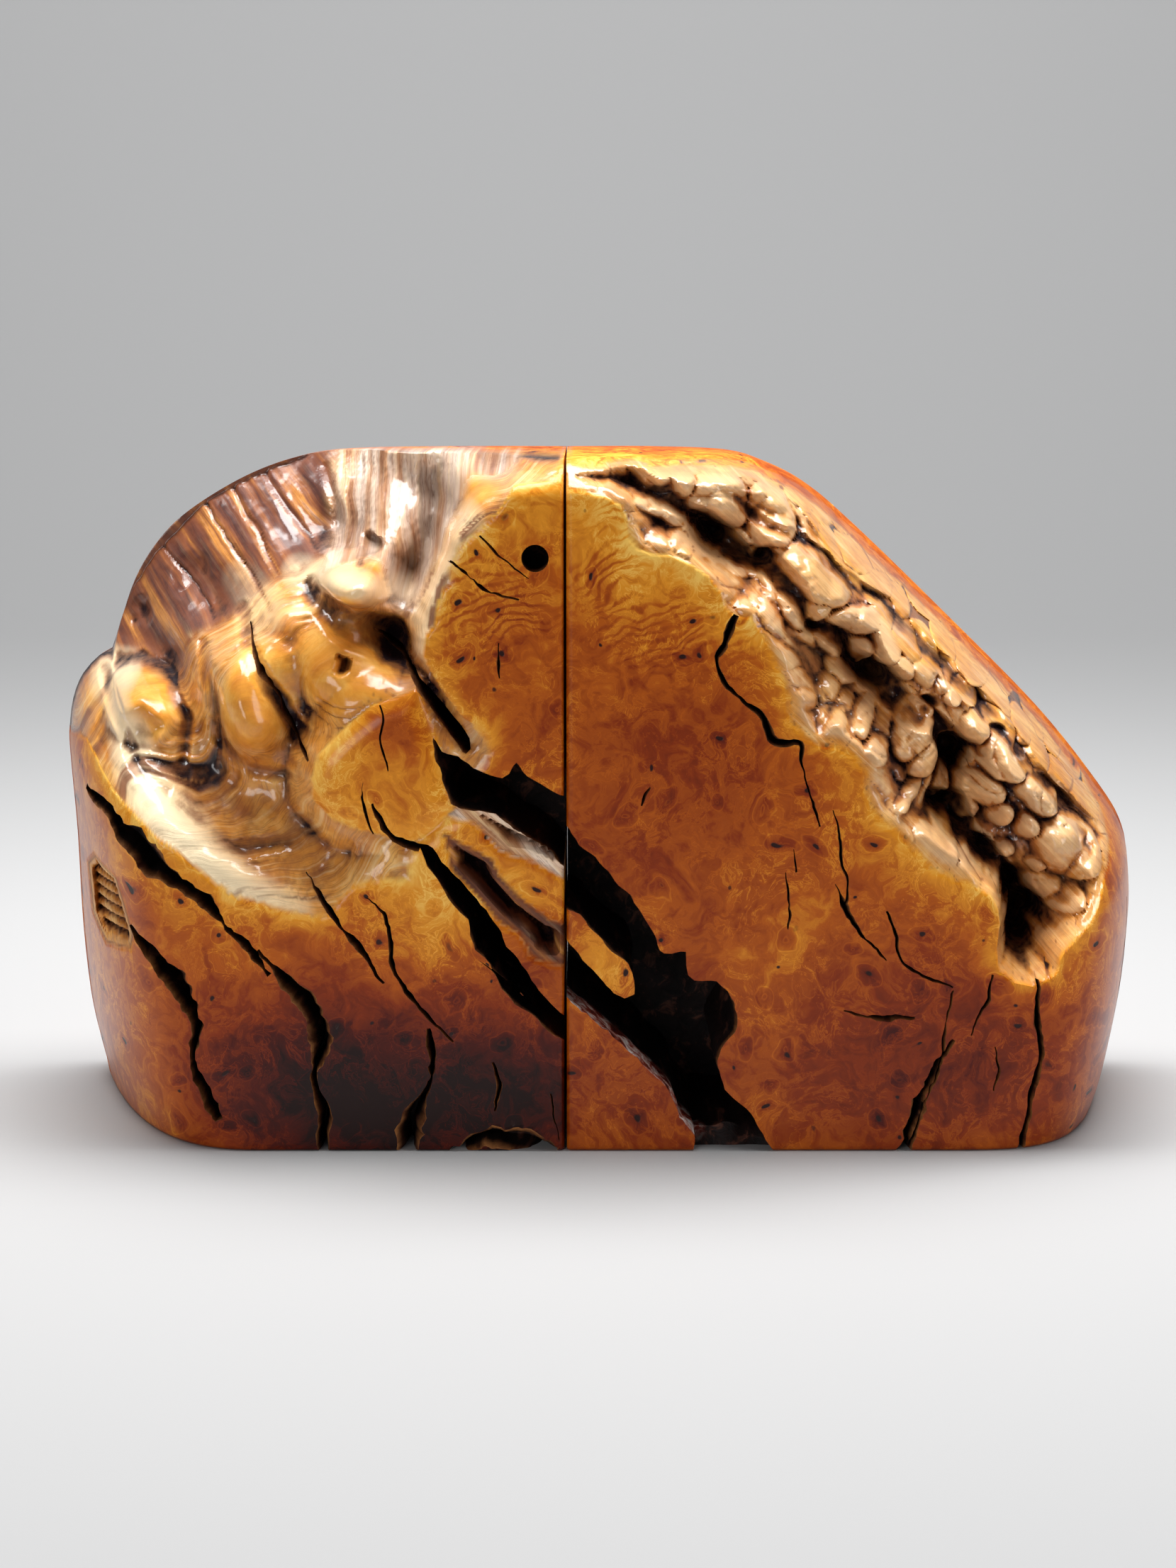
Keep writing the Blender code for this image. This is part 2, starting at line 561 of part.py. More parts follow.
def main():
    for old in list(bpy.data.objects):
        bpy.data.objects.remove(old, do_unlink=True)
    parts = cutter_set("manzanita_burl_bookends")
    left_cutters = cutter_set("left_voids")
    right_cutters = cutter_set("right_voids")

    left = Half(
        LEFT_OUTLINE, LEFT_ROUNDING, LEFT_GUIDES,
        [LEFT_SKIN, LEFT_RECESS, LEFT_TORN, LEFT_FINS], [LEFT_ISLAND], LEFT_KNOBS, side=-1,
    )
    right_warts = warts(RIGHT_WART_STEP, RIGHT_WART_HEIGHT, RIGHT_WART_SEED, RIGHT_SKIN)
    right = Half(
        RIGHT_OUTLINE, RIGHT_ROUNDING, RIGHT_GUIDES, [RIGHT_SKIN], [],
        RIGHT_KNOBS + right_warts, side=1,
    )
    for half, voids, cracks, group in (
        (left, LEFT_VOIDS, LEFT_CRACKS, left_cutters),
        (right, RIGHT_VOIDS, RIGHT_CRACKS, right_cutters),
    ):
        for name, (floor, corners) in voids.items():
            void_cutter(name, half, floor, corners, group)
        for name, (width, depth, run) in cracks.items():
            crack_cutter(name, half, width, depth, run, group)
    hole_cutter("drilled_hole", left, left_cutters)
    for cutter in (*left_cutters.objects, *right_cutters.objects):
        cutter.hide_render = True
        cutter.display_type = "WIRE"

    bookend("left_half", left, left_cutters, LEFT_COLOUR, parts)
    bookend("right_half", right, right_cutters, RIGHT_COLOUR, parts)


main()
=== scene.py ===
# %% [markdown]
# # Bookends sawn from one manzanita burl
#
# A burl is a knotted swelling on a trunk or root. This one was sawn in two, its faces were
# sanded and varnished, and the two halves stand together at the saw cut. The CAD model
# gives each half as a plain closed solid at its real size. This lesson builds the same two
# forms again from the same rules, but with the warts, fibres, cracks and figure of the wood.

# %% Load the frame
import math
import random

import bpy
import numpy as np
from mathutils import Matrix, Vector
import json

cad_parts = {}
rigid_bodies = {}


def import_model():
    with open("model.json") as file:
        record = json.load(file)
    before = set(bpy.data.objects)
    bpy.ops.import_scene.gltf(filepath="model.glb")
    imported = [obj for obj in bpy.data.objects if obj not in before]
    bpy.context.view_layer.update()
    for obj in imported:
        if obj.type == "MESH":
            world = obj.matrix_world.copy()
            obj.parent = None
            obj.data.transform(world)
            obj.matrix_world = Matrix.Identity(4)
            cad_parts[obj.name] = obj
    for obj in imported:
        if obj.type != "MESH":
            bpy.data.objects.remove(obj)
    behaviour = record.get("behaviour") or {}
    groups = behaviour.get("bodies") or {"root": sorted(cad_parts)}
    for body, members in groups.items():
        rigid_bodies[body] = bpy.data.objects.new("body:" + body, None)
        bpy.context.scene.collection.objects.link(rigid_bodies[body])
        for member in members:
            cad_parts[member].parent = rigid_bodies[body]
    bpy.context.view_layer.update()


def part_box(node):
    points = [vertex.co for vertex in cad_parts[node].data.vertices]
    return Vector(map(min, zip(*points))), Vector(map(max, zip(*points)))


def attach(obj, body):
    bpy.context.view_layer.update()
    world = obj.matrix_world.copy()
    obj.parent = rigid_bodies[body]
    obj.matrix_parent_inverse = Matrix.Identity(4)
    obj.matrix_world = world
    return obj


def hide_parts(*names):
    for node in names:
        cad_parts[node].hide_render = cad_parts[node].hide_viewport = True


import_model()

# %% [markdown]
# ## Where things are
#
# Every form below is written in millimetres from the foot of the saw cut: *out* is the
# distance from the cut, *up* the height above the table and *deep* the distance behind
# the flat sanded front. One function turns those three into model coordinates, and the
# left half is the mirrored one, so both halves share all the shaping code.

# %% Coordinates of a half
MM = 0.001
LEFT, RIGHT = -1, 1
SAW_GAP = 0.6
CUT_TAPER = 0.7

left_low, left_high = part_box("left_half")
right_low, right_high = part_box("right_half")
SEAM_X = (left_high.x + right_low.x) / 2 / MM
FRONT_Y = left_low.y / MM
THICKNESS = (left_high.y - left_low.y) / MM
HEIGHT = left_high.z / MM


def half_gap(deep):
    """The saw cut stands a little open in front and closes towards the back."""
    return SAW_GAP / 2 * (1 - CUT_TAPER * np.clip(np.asarray(deep, float) / THICKNESS, 0, 1))


def to_model(out, deep, up, side):
    """Model coordinates in metres, as an array of points, of places on a half."""
    x = SEAM_X + side * (np.asarray(out, float) + half_gap(deep))
    return np.stack([x, FRONT_Y + np.asarray(deep), np.asarray(up)], axis=-1) * MM


print(f"saw cut at x = {SEAM_X:.1f} mm, block {THICKNESS:.0f} mm thick, {HEIGHT:.0f} mm high")

# %% [markdown]
# ## The camera
#
# The block was seen from a little above its top and a little right of the cut. The lens is
# long, so the top and the foot run almost parallel. The camera comes first, because every
# later choice of detail depends on what it shows.

# %% Camera
EYE_DISTANCE = 613.1
EYE_HEIGHT = 180.0
EYE_RIGHT_OF_CUT = 4.9
EYE_TILT_DOWN = math.radians(9.15)
LENS = 66.65

camera_data = bpy.data.cameras.new("photo_camera")
camera_data.lens = LENS
camera_data.sensor_width = 36.0
camera = bpy.data.objects.new("photo_camera", camera_data)
bpy.context.scene.collection.objects.link(camera)
camera.location = to_model(EYE_RIGHT_OF_CUT - SAW_GAP / 2, -EYE_DISTANCE, EYE_HEIGHT, RIGHT)
camera.rotation_euler = (math.pi / 2 - EYE_TILT_DOWN, 0, 0)
bpy.context.scene.camera = camera

# %% [markdown]
# ## Noise and curves
#
# Wood is never quite regular, so the shaping needs noise that can be worked out for a
# whole array of points at once. Value noise is enough: random numbers on a lattice,
# blended smoothly. Its layers make clouds, fibre ridges or crowded puffs, depending on how
# each layer is bent. A Catmull-Rom curve turns a few given points into a smooth run.


# %% Noise and smooth runs
def lattice(ix, iy, seed):
    """A repeatable random number from 0 to 1 for each whole-number place."""
    mixed = (ix * 374761393 + iy * 668265263 + seed * 1442695041) & 0xFFFFFFFF
    mixed = ((mixed ^ (mixed >> 13)) * 1274126177) & 0xFFFFFFFF
    return ((mixed ^ (mixed >> 16)) & 0xFFFF) / 65535.0


def noise(x, y, size, seed):
    """Smooth noise from -1 to 1, with lumps of about the given size."""
    ix, iy = np.floor(x / size).astype(np.int64), np.floor(y / size).astype(np.int64)
    fx, fy = x / size - ix, y / size - iy
    fx, fy = fx * fx * (3 - 2 * fx), fy * fy * (3 - 2 * fy)
    low = lattice(ix, iy, seed) * (1 - fx) + lattice(ix + 1, iy, seed) * fx
    high = lattice(ix, iy + 1, seed) * (1 - fx) + lattice(ix + 1, iy + 1, seed) * fx
    return 2 * (low * (1 - fy) + high * fy) - 1


FOLD_STEEPNESS = 1.6
PUFF_FADE = 0.45


def layered(bend, x, y, size, seed, layers, fade=0.5):
    """Layers of bent noise, each half the size of the one before and weaker by fade."""
    total = whole = 0.0
    for k in range(layers):
        total = total + fade**k * bend(noise(x, y, size * 0.5**k, seed + k))
        whole += fade**k
    return total / whole


def cloud(x, y, size, seed, layers=4):
    """Soft noise from -1 to 1."""
    return layered(lambda n: n, x, y, size, seed, layers)


def ridges(x, y, size, seed, layers=3):
    """Sharp-crested noise from 0 to 1, like splintered fibres."""
    crest = layered(lambda n: 1 - np.abs(n) * FOLD_STEEPNESS, x, y, size, seed, layers)
    return np.clip(crest, 0, 1)


def puffs(x, y, size, seed, layers=3):
    """Rounded swellings from 0 to 1 that meet in sharp creases, like crowded warts."""
    def bend(n):
        return np.sqrt(np.clip(np.abs(n) * FOLD_STEEPNESS, 0, 1))
    return layered(bend, x, y, size, seed, layers, PUFF_FADE)


def soft_max(a, b, blend):
    """The larger of two, with the corner between them rounded off."""
    overlap = np.clip(blend - np.abs(a - b), 0, None) / blend
    return np.maximum(a, b) + overlap**2 * blend / 4


def smooth_run(points, step=2.0):
    """Points on a smooth curve through the given ones (Catmull-Rom)."""
    run = [np.array(p, float) for p in points]
    run = [2 * run[0] - run[1], *run, 2 * run[-1] - run[-2]]
    found = []
    for before, start, end, after in zip(run, run[1:], run[2:], run[3:]):
        count = max(1, int(math.dist(start[:2], end[:2]) / step))
        for k in range(count):
            t = k / count
            found.append(
                0.5 * (2 * start + (end - before) * t
                       + (2 * before - 5 * start + 4 * end - after) * t**2
                       + (3 * start - before - 3 * end + after) * t**3)
            )
    return np.array([*found, run[-2]])


def to_segment(out, up, start, end):
    """How far along a straight run each place is, from 0 to 1, and how far away from it."""
    ex, ez = end[0] - start[0], end[1] - start[1]
    x, z = out - start[0], up - start[1]
    along = np.clip((x * ex + z * ez) / (ex * ex + ez * ez), 0, 1)
    return along, np.hypot(x - along * ex, z - along * ez)


def inside_distance(out, up, corners):
    """Distance to a closed outline, positive inside it and negative outside."""
    nearest = np.full(out.shape, np.inf)
    within = np.zeros(out.shape, bool)
    corners = [tuple(c[:2]) for c in corners]
    for start, end in zip(corners, corners[1:] + corners[:1]):
        if start == end:
            continue
        nearest = np.minimum(nearest, to_segment(out, up, start, end)[1])
        (ax, az), (bx, bz) = start, end
        if az != bz:
            within ^= ((az > up) != (bz > up)) & (out < ax + (bx - ax) * (up - az) / (bz - az))
    return np.where(within, nearest, -nearest)


def step_up(value, low, high):
    """0 below low, 1 above high, and a soft rise between."""
    t = np.clip((value - low) / (high - low), 0, 1)
    return t * t * (3 - 2 * t)


# %% [markdown]
# ## The sanded block
#
# Before any bark or hollow, each half is a pillow of sanded wood: flat in front, rounded
# towards its outline, straight along the cut and the foot. The outline is read from the
# front as a handful of points. How the rounding turns changes along it: a broad, lazy
# round at the left end, a late and tight one at the right end, and a small eased edge on
# top beside the cut.

# %% Outlines and rounding
LEFT_OUTLINE = [
    (110, 0), (110.8, 4.5), (112, 9.5), (114, 20), (115.5, 37.5), (116.2, 59.5), (117.2, 75),
    (117.5, 83.5), (116.5, 91), (114, 97), (110, 101.3), (107, 103), (106, 106), (101.5, 119),
    (95.5, 128.5), (88, 135.5), (75.5, 143), (63.5, 147.5), (51, 149.5), (26.5, 150), (0, 150),
]
RIGHT_OUTLINE = [
    (126.5, 0), (129, 9), (132.3, 28), (133.5, 43), (133.5, 51.5), (132, 60.5), (126.5, 70),
    (111.5, 88.5), (89, 111), (66.5, 132.5), (55, 142), (45, 147), (36.5, 149.3), (20, 150),
    (0, 150),
]
# Angle from the foot in degrees, depth at the outline, width of the round, how late it turns.
LEFT_ROUNDING = [
    (0, 66, 44, 2.5), (40, 66, 44, 2.5), (55, 68, 20, 3.0), (75, 50, 12, 3.0),
    (84, 26, 9, 2.6), (90, 8, 8, 2.2),
]
RIGHT_ROUNDING = [
    (0, 66, 50, 4.7), (30, 70, 50, 4.7), (65, 70, 46, 4.7), (76, 44, 20, 4.0),
    (84, 22, 10, 3.0), (90, 8, 8, 2.2),
]
EASED_EDGE = 0.9


class Block:
    """The sanded envelope of one half."""

    def __init__(self, outline, rounding, side):
        run = smooth_run(outline)
        self.angles = np.arctan2(run[:, 1], run[:, 0])
        self.reaches = np.hypot(run[:, 0], run[:, 1])
        self.rounding = np.array(rounding, float)
        self.side = side

    def reach(self, angle):
        return np.interp(angle, self.angles, self.reaches)

    def inward(self, out, up):
        """Distance in from the outline, along the ray from the foot of the cut."""
        return self.reach(np.arctan2(up, out)) - np.hypot(out, up)

    def envelope(self, out, up):
        """Depth of the sanded surface."""
        turns = np.degrees(np.arctan2(up, out))
        edge, width, late = (
            np.interp(turns, self.rounding[:, 0], self.rounding[:, k]) for k in (1, 2, 3)
        )
        round_off = edge * np.clip(1 - self.inward(out, up) / width, 0, 1) ** late
        ease = sum(np.clip(1 - side / EASED_EDGE, 0, 1) ** 2 for side in (out, up))
        return round_off + EASED_EDGE * ease


left_block = Block(LEFT_OUTLINE, LEFT_ROUNDING, LEFT)
right_block = Block(RIGHT_OUTLINE, RIGHT_ROUNDING, RIGHT)

# %% [markdown]
# ## Guide points
#
# The natural skin lies below the sanded face by a few millimetres at its edge and by up to
# 70 mm in the hollow behind the left half's top. Its broad form passes smoothly through
# guide points, each with a place and a depth. A multiquadric surface does that with one
# small linear equation, and it doesn't swing between the points as a polynomial would.


# %% A surface through guide points
class Relief:
    """Depth that passes smoothly through guide points of (out, up, deep)."""

    SOFTNESS = 5.0

    def __init__(self, guides):
        self.places = np.array([g[:2] for g in guides], float)
        depths = np.array([g[2] for g in guides], float)
        self.middle = depths.mean()
        gaps = np.linalg.norm(self.places[:, None] - self.places[None], axis=2)
        self.weights = np.linalg.solve(self.kernel(gaps), depths - self.middle)

    def kernel(self, gaps):
        return np.sqrt(gaps**2 + self.SOFTNESS**2)

    def __call__(self, out, up):
        total = np.full(out.shape, self.middle)
        for (gx, gz), weight in zip(self.places, self.weights):
            total += weight * self.kernel(np.hypot(out - gx, up - gz))
        return total


# %% [markdown]
# ## Lumps, grooves and hollows
#
# The relief on top of that form is made of a few simple shapes that can be listed by place
# and size: tilted half-ellipsoids for warts, softer swellings for domes, runs with a round
# bottom for grooves, and round pits. Each function works on a whole array of places.

# %% Lumps, grooves and hollows
LEAN = 0.35
SWELL_BLEND = 1.4


def ellipse(out, up, lump):
    """Squared distance from a tilted lump's middle, 1 on its rim, and the share along it."""
    x, z, long, wide, tilt = lump[:5]
    c, s = math.cos(math.radians(tilt)), math.sin(math.radians(tilt))
    dx, dz = out - x, up - z
    ahead = (dx * c + dz * s) / long
    return ahead**2 + ((dz * c - dx * s) / wide) ** 2, ahead


def caps(out, up, lumps):
    """Highest and second highest of lumps: (out, up, half length, half width, tilt, height)."""
    top, second = np.zeros(out.shape), np.zeros(out.shape)
    for lump in lumps:
        x, z, long, wide, _, height = lump
        near = (np.abs(out - x) < max(long, wide)) & (np.abs(up - z) < max(long, wide))
        spread, ahead = ellipse(out[near], up[near], lump)
        cap = height * (1 + LEAN * ahead) * np.sqrt(np.clip(1 - spread, 0, 1))
        highest = top[near]
        second[near] = np.maximum(second[near], np.minimum(highest, cap))
        top[near] = np.maximum(highest, cap)
    return top, second


def swells(out, up, lumps):
    """Height of soft swellings that run out into their surroundings."""
    top = np.zeros(out.shape)
    for lump in lumps:
        spread, _ = ellipse(out, up, lump)
        top = soft_max(top, lump[5] * np.clip(1 - spread, 0, 1) ** 0.8, SWELL_BLEND)
    return np.maximum(top - SWELL_BLEND / 4, 0)


def grooves(out, up, runs):
    """Depth of grooves along runs of (out, up, half width, depth)."""
    sunk = np.zeros(out.shape)
    for run in runs:
        for start, end in zip(run, run[1:]):
            along, away = to_segment(out, up, start, end)
            wide, deep = (start[k] + along * (end[k] - start[k]) for k in (2, 3))
            sunk = np.maximum(sunk, deep * np.clip(1 - (away / wide) ** 2, 0, 1))
    return sunk


def pits(out, up, hollows):
    """Depth of round hollows: (out, up, radius, depth)."""
    sunk = np.zeros(out.shape)
    for x, z, radius, depth in hollows:
        spread = ((out - x) ** 2 + (up - z) ** 2) / radius**2
        sunk = np.maximum(sunk, depth * np.clip(1 - spread, 0, 1) ** 1.5)
    return sunk


def cobbles(seed, size, along, across, tilt, height, span):
    """Lumps on a jittered lattice turned by tilt, for caps(), over a square span."""
    draw = random.Random(seed)
    c, s = math.cos(math.radians(tilt)), math.sin(math.radians(tilt))
    found = []
    rows, columns = int(span / across), int(span / along)
    for row in range(-rows, rows):
        for column in range(-columns, columns):
            u = (column + 0.5 * (row % 2) + draw.uniform(-0.3, 0.3)) * along
            v = (row + draw.uniform(-0.25, 0.25)) * across
            grow = draw.uniform(0.75, 1.2)
            lift = height * draw.uniform(0.6, 1.25)
            turn = tilt + draw.uniform(-14, 14)
            x, z = 70 + u * c - v * s, 80 + u * s + v * c
            if -5 < x < 140 and 30 < z < 158:
                found.append((x, z, size * along * grow, size * across * grow, turn, lift))
    return found


# %% [markdown]
# ## The right half's warts
#
# Manzanita burl grows dozens of dormant buds, and under the bark each one is a wart. Here
# they run in a band between the sanded face and the sanded rim. A deep valley follows the
# band, with fat warts hanging over it, slim scales between it and the face, and flat worn
# scales towards the rim. The largest are listed one by one, and the rest are scattered on
# turned lattices. Where half-ellipsoids overlap, the higher one counts, which leaves the
# sharp creases between warts. Folds and puffs of noise on them make warts upon warts.

# %% Right skin
RIGHT_SKIN = [
    (-2, 144), (3.5, 143.5), (8, 142.5), (11.5, 140.5), (13, 137.5), (13, 134), (15, 131.5),
    (18.5, 130), (22, 130), (26, 128.5), (29.5, 125.5), (32.5, 122), (33, 119), (35.5, 117),
    (39, 116.5), (42, 111.5), (44, 108), (46.5, 101.5), (47.5, 94.5), (50.5, 90.5),
    (55.5, 89.5), (61, 87), (63.5, 83), (64.5, 75), (70, 71), (74.5, 66), (79.5, 61.5),
    (86, 59.5), (91.5, 56.5), (93.5, 50.5), (92.5, 45), (93.5, 40.5), (100.5, 37),
    (105.5, 39.5), (108, 44), (114.5, 50), (118.5, 58), (124, 66), (117, 82),
    (106, 95), (92, 113), (69, 134), (60, 140), (50, 145), (36, 150),
    (26, 156), (-2, 156),
]
RIGHT_GUIDES = [
    (3, 147.5, 12), (12.5, 147.5, 23), (33, 134.5, 23), (37.5, 127.5, 23), (59.5, 110, 23),
    (68.5, 102.5, 25), (85, 85, 26), (87, 69, 25), (95, 54.5, 29), (100, 42.5, 33),
    (23.5, 149, 24), (32.5, 141, 19), (46.5, 129, 17), (59, 118.5, 17), (71.5, 106, 18),
    (90.5, 93.5, 21), (101.5, 81, 20), (109.5, 67, 22), (109, 54, 25),
    (22, 137, 12), (40, 122, 13), (52, 104, 12), (62, 95, 12), (75, 77, 13), (86, 65, 13),
    (32, 147, 30), (47.5, 138, 31), (63.5, 128, 32), (85.5, 109.5, 33), (100.5, 91.5, 34),
    (110, 79.5, 34), (119, 66, 36),
]
RIGHT_LUMPS = [
    (25.5, 145.5, 3.2, 5.0, 0, 5), (33, 141, 7.5, 6.0, -20, 7), (20.5, 147.5, 4.0, 2.6, -25, 4),
    (37.5, 133.5, 4.2, 2.8, -35, 4), (44, 136.5, 7.5, 6.2, -40, 7), (19.5, 139.5, 7.5, 2.8, -38, 4),
    (37.5, 127, 4.5, 2.4, -35, 3.5), (53.5, 125, 11.0, 4.8, -38, 6.5), (55, 118.5, 3.4, 4.2, -50, 5),
    (49, 117.5, 5.0, 2.8, -50, 4), (70, 110, 4.2, 6.8, 5, 8), (64, 107.5, 3.0, 4.4, 15, 6.5),
    (73, 103.5, 3.0, 3.4, 0, 7), (62.5, 114.5, 7.0, 3.2, -12, 7), (65.5, 125, 4.8, 4.2, 0, 5),
    (72, 118.5, 4.0, 4.0, 0, 5), (78.5, 112, 4.6, 4.6, 0, 5), (85.5, 102.5, 5.6, 5.6, 0, 5.5),
    (85, 98, 3.2, 2.6, 0, 7.5), (77.5, 105.5, 4.4, 5.6, 0, 5.5), (57, 109.5, 5.2, 3.2, -50, 4.5),
    (59, 103.5, 5.2, 2.8, -45, 4), (56, 100.5, 4.2, 3.8, 0, 3.2), (64.5, 94, 2.6, 3.6, -10, 4),
    (67, 88, 3.2, 3.6, -30, 4), (57.5, 94, 3.4, 3.4, -20, 3), (51, 99, 2.8, 2.4, 0, 2.5),
    (75.5, 91, 5.6, 7.0, -15, 8), (77.5, 84.5, 4.4, 4.0, 0, 8), (89.5, 90.5, 4.4, 4.0, 0, 5),
    (93.5, 95, 5.4, 4.2, -20, 5), (97.5, 84.5, 6.8, 5.6, -30, 6), (105, 75.5, 6.4, 4.6, -25, 5),
    (91.5, 76.5, 6.6, 5.0, -10, 6.5), (95.5, 71, 3.2, 3.0, 0, 7), (89, 71, 3.2, 2.8, 0, 7),
    (96.5, 63, 2.6, 2.6, 0, 6), (110.5, 64, 9.0, 7.5, -20, 7), (107, 54.5, 7.0, 4.4, -10, 5),
    (80.5, 68.5, 5.8, 5.2, -20, 5.5), (74.5, 78.5, 3.0, 4.6, -50, 4.5), (84, 78, 2.6, 4.6, 0, 5.5),
    (101.5, 68.5, 3.4, 3.2, 0, 5), (103.5, 60, 2.8, 2.6, 0, 4), (40.5, 130, 3.2, 2.2, -40, 3),
]
RIGHT_GROOVES = [
    [(24, 141, 2, 3), (31, 134, 4, 7), (38, 129.5, 3, 5), (45, 126.5, 3, 6), (53, 116.5, 2.4, 4),
     (60, 108.5, 2.6, 4), (67, 101.5, 4.2, 8), (73, 95.5, 3, 6), (80, 92, 3, 6), (86, 85, 4.2, 9),
     (84, 77, 4, 7), (88, 66, 3.6, 7), (92, 60, 4.6, 8), (97, 54, 4.6, 7), (103, 46, 6, 7)],
    [(37, 140, 1.4, 1.5), (50, 132, 1.8, 3), (66, 120, 2, 4), (79, 108, 2, 4), (92, 96, 2.2, 5),
     (104, 82, 2.4, 5), (113, 71, 2.2, 4), (117, 62, 1.8, 2)],
]
RIGHT_HOLLOWS = [
    (30.5, 134, 5.0, 8), (44, 128.5, 3.5, 6), (67.5, 101.5, 4.6, 8), (54, 114, 2.6, 5),
    (87, 84.5, 5.0, 10), (82, 74, 3.8, 7), (90.5, 61.5, 5.0, 8), (98, 54.5, 5.0, 7),
    (103.5, 45.5, 7.0, 8), (13, 147.5, 6.0, 6), (98, 92.5, 2.6, 4), (108, 81.5, 2.6, 4),
    (79, 96.5, 3.2, 6),
]
DIAGONAL = math.radians(-49)
slim_scales = cobbles(11, 0.74, 10.0, 3.7, -49, 3.4, 100)
rim_scales = cobbles(14, 0.72, 8.5, 4.4, -49, 3.0, 100)
right_relief = Relief(RIGHT_GUIDES)
RIM_SKIN = 3.4
CREST_SKIN = 6.8
WART_GAIN = 1.1
ROW_HEIGHT = 3.0
FOLD_HEIGHT, FOLD_SHARE = 3.2, 0.24
FINE_HEIGHT = 0.6
CREASE_CUT = 0.4


def worn_rim(out, up, sanded):
    """1 where the warts near the outline were sanded to flat scales."""
    return step_up(sanded + RIM_SKIN - right_relief(out, up), -1.5, 1.5)


def along_band(out, up):
    """Coordinates along and across the band of warts."""
    c, s = math.cos(DIAGONAL), math.sin(DIAGONAL)
    return out * c + up * s, up * c - out * s


def right_skin(out, up, sanded):
    """Depth under the right half's warts, their height, and how near a crease each place is."""
    broad = right_relief(out, up)
    valley = step_up(broad, 15, 22)
    inward = right_block.inward(out, up)
    rim = worn_rim(out, up, sanded)
    x = out + 2.0 * cloud(out, up, 9, 36, 3)
    z = up + 2.0 * cloud(out, up, 9, 38, 3)
    slim, slim_next = caps(x, z, slim_scales)
    fat, fat_next = caps(x, z, RIGHT_LUMPS)
    flat, flat_next = caps(x, z, rim_scales)
    run, cross = along_band(x, z)
    rows = ROW_HEIGHT * puffs(run * 0.42, cross, 4.2, 41, 2)
    folds = FOLD_HEIGHT * puffs(run * 0.8, cross, 6.5, 45, 3)
    scales = soft_max(slim, rows, 0.8) * (1 - 0.5 * valley) + 0.5 * valley * folds
    lumps = WART_GAIN * fat + FOLD_SHARE * folds * np.clip(fat, 0, 4)
    warts = soft_max(lumps, scales * (1 - 0.5 * step_up(fat, 0, 3)), 0.9)
    warts = warts + rim * (flat - warts)
    gap = np.minimum(np.maximum(fat, slim) - np.maximum(fat_next, slim_next), 3)
    near_crease = np.clip(1 - gap / 0.5, 0, 1) * (1 - rim)
    near_crease = np.maximum(near_crease, rim * np.clip(1 - (flat - flat_next) / 0.4, 0, 1))
    fine = FINE_HEIGHT * puffs(x, z, 2.4, 48, 2) * (1 - 0.6 * rim)
    least = RIM_SKIN + (CREST_SKIN - RIM_SKIN) * (1 - rim)
    under = soft_max(broad, sanded + least * step_up(inward, 1.6, 4.0), 2.0)
    under = under + pits(x + 1.2 * noise(out, up, 3, 39), z, RIGHT_HOLLOWS) * (1 - rim)
    under = under + grooves(x, z, RIGHT_GROOVES) + 1.4 * (1 - rim) + 0.6 * cloud(out, up, 9, 31)
    return under, warts + fine - CREASE_CUT * near_crease, near_crease


# %% [markdown]
# ## The left half's flowing skin
#
# The left half kept the weathered trunk: two smooth domes, one with an eye, a nose-like
# ridge over a dark ravine, a knob at the outer end, and behind them a streaked sheet that
# curves up to the rim. Between the domes and the sanded face, worn growth layers run like
# contour lines. Noise that is read along the depth of the form, and hardly along its run,
# gives just such layers.

# %% Left skin
LEFT_SKIN = [
    (2.5, 146), (5.5, 145.5), (10, 144.5), (13, 140), (17, 135.5), (21.5, 131), (23.5, 127.5),
    (24, 124), (26, 120.5), (27, 116), (29, 112), (29.5, 109), (27, 104), (24, 100),
    (21.5, 95.5), (16.5, 92), (15, 88.5), (18, 82), (24, 75), (28.5, 71), (32, 67),
    (33, 60.5), (39, 60), (45.5, 59), (50, 53), (53, 52), (63, 53.5), (71.5, 57),
    (76, 60.5), (84.5, 67), (89, 71), (95.5, 75.5), (99.5, 79.5), (103, 83), (108, 86),
    (125, 90), (125, 160), (2.5, 160),
]
HEART = [
    (31, 101.5), (35.5, 99.5), (40.5, 98), (45, 94.5), (49.5, 90.5), (52.5, 87), (54, 82),
    (53.5, 77.5), (49.5, 73.5), (45, 71.5), (39, 70), (34, 68), (28.5, 71), (23.5, 76.5),
    (25, 80.5), (26, 87), (28, 93), (29.5, 97.5),
]
RECESS = [
    (26, 71), (19.5, 67.5), (15, 65), (13.5, 61.5), (9, 56.5), (3, 52), (-1, 50.5), (-1, 41),
    (4.5, 42), (7.5, 43.5), (8.5, 46), (10, 48.5), (13, 50), (15, 51.5), (19.5, 57), (24.5, 62),
]
TORN_SLOPE = [
    (26, 74), (23, 76), (18, 77), (-1, 68), (-1, 59.5), (6.5, 64), (10.5, 65), (14, 66.5),
    (16.5, 69.5), (19.5, 72.5),
]
FINS = [
    (110, 56.5), (106, 61), (98, 58.5), (96, 52.5), (94, 46), (95, 42.5), (103.5, 40.5),
    (109, 45),
]
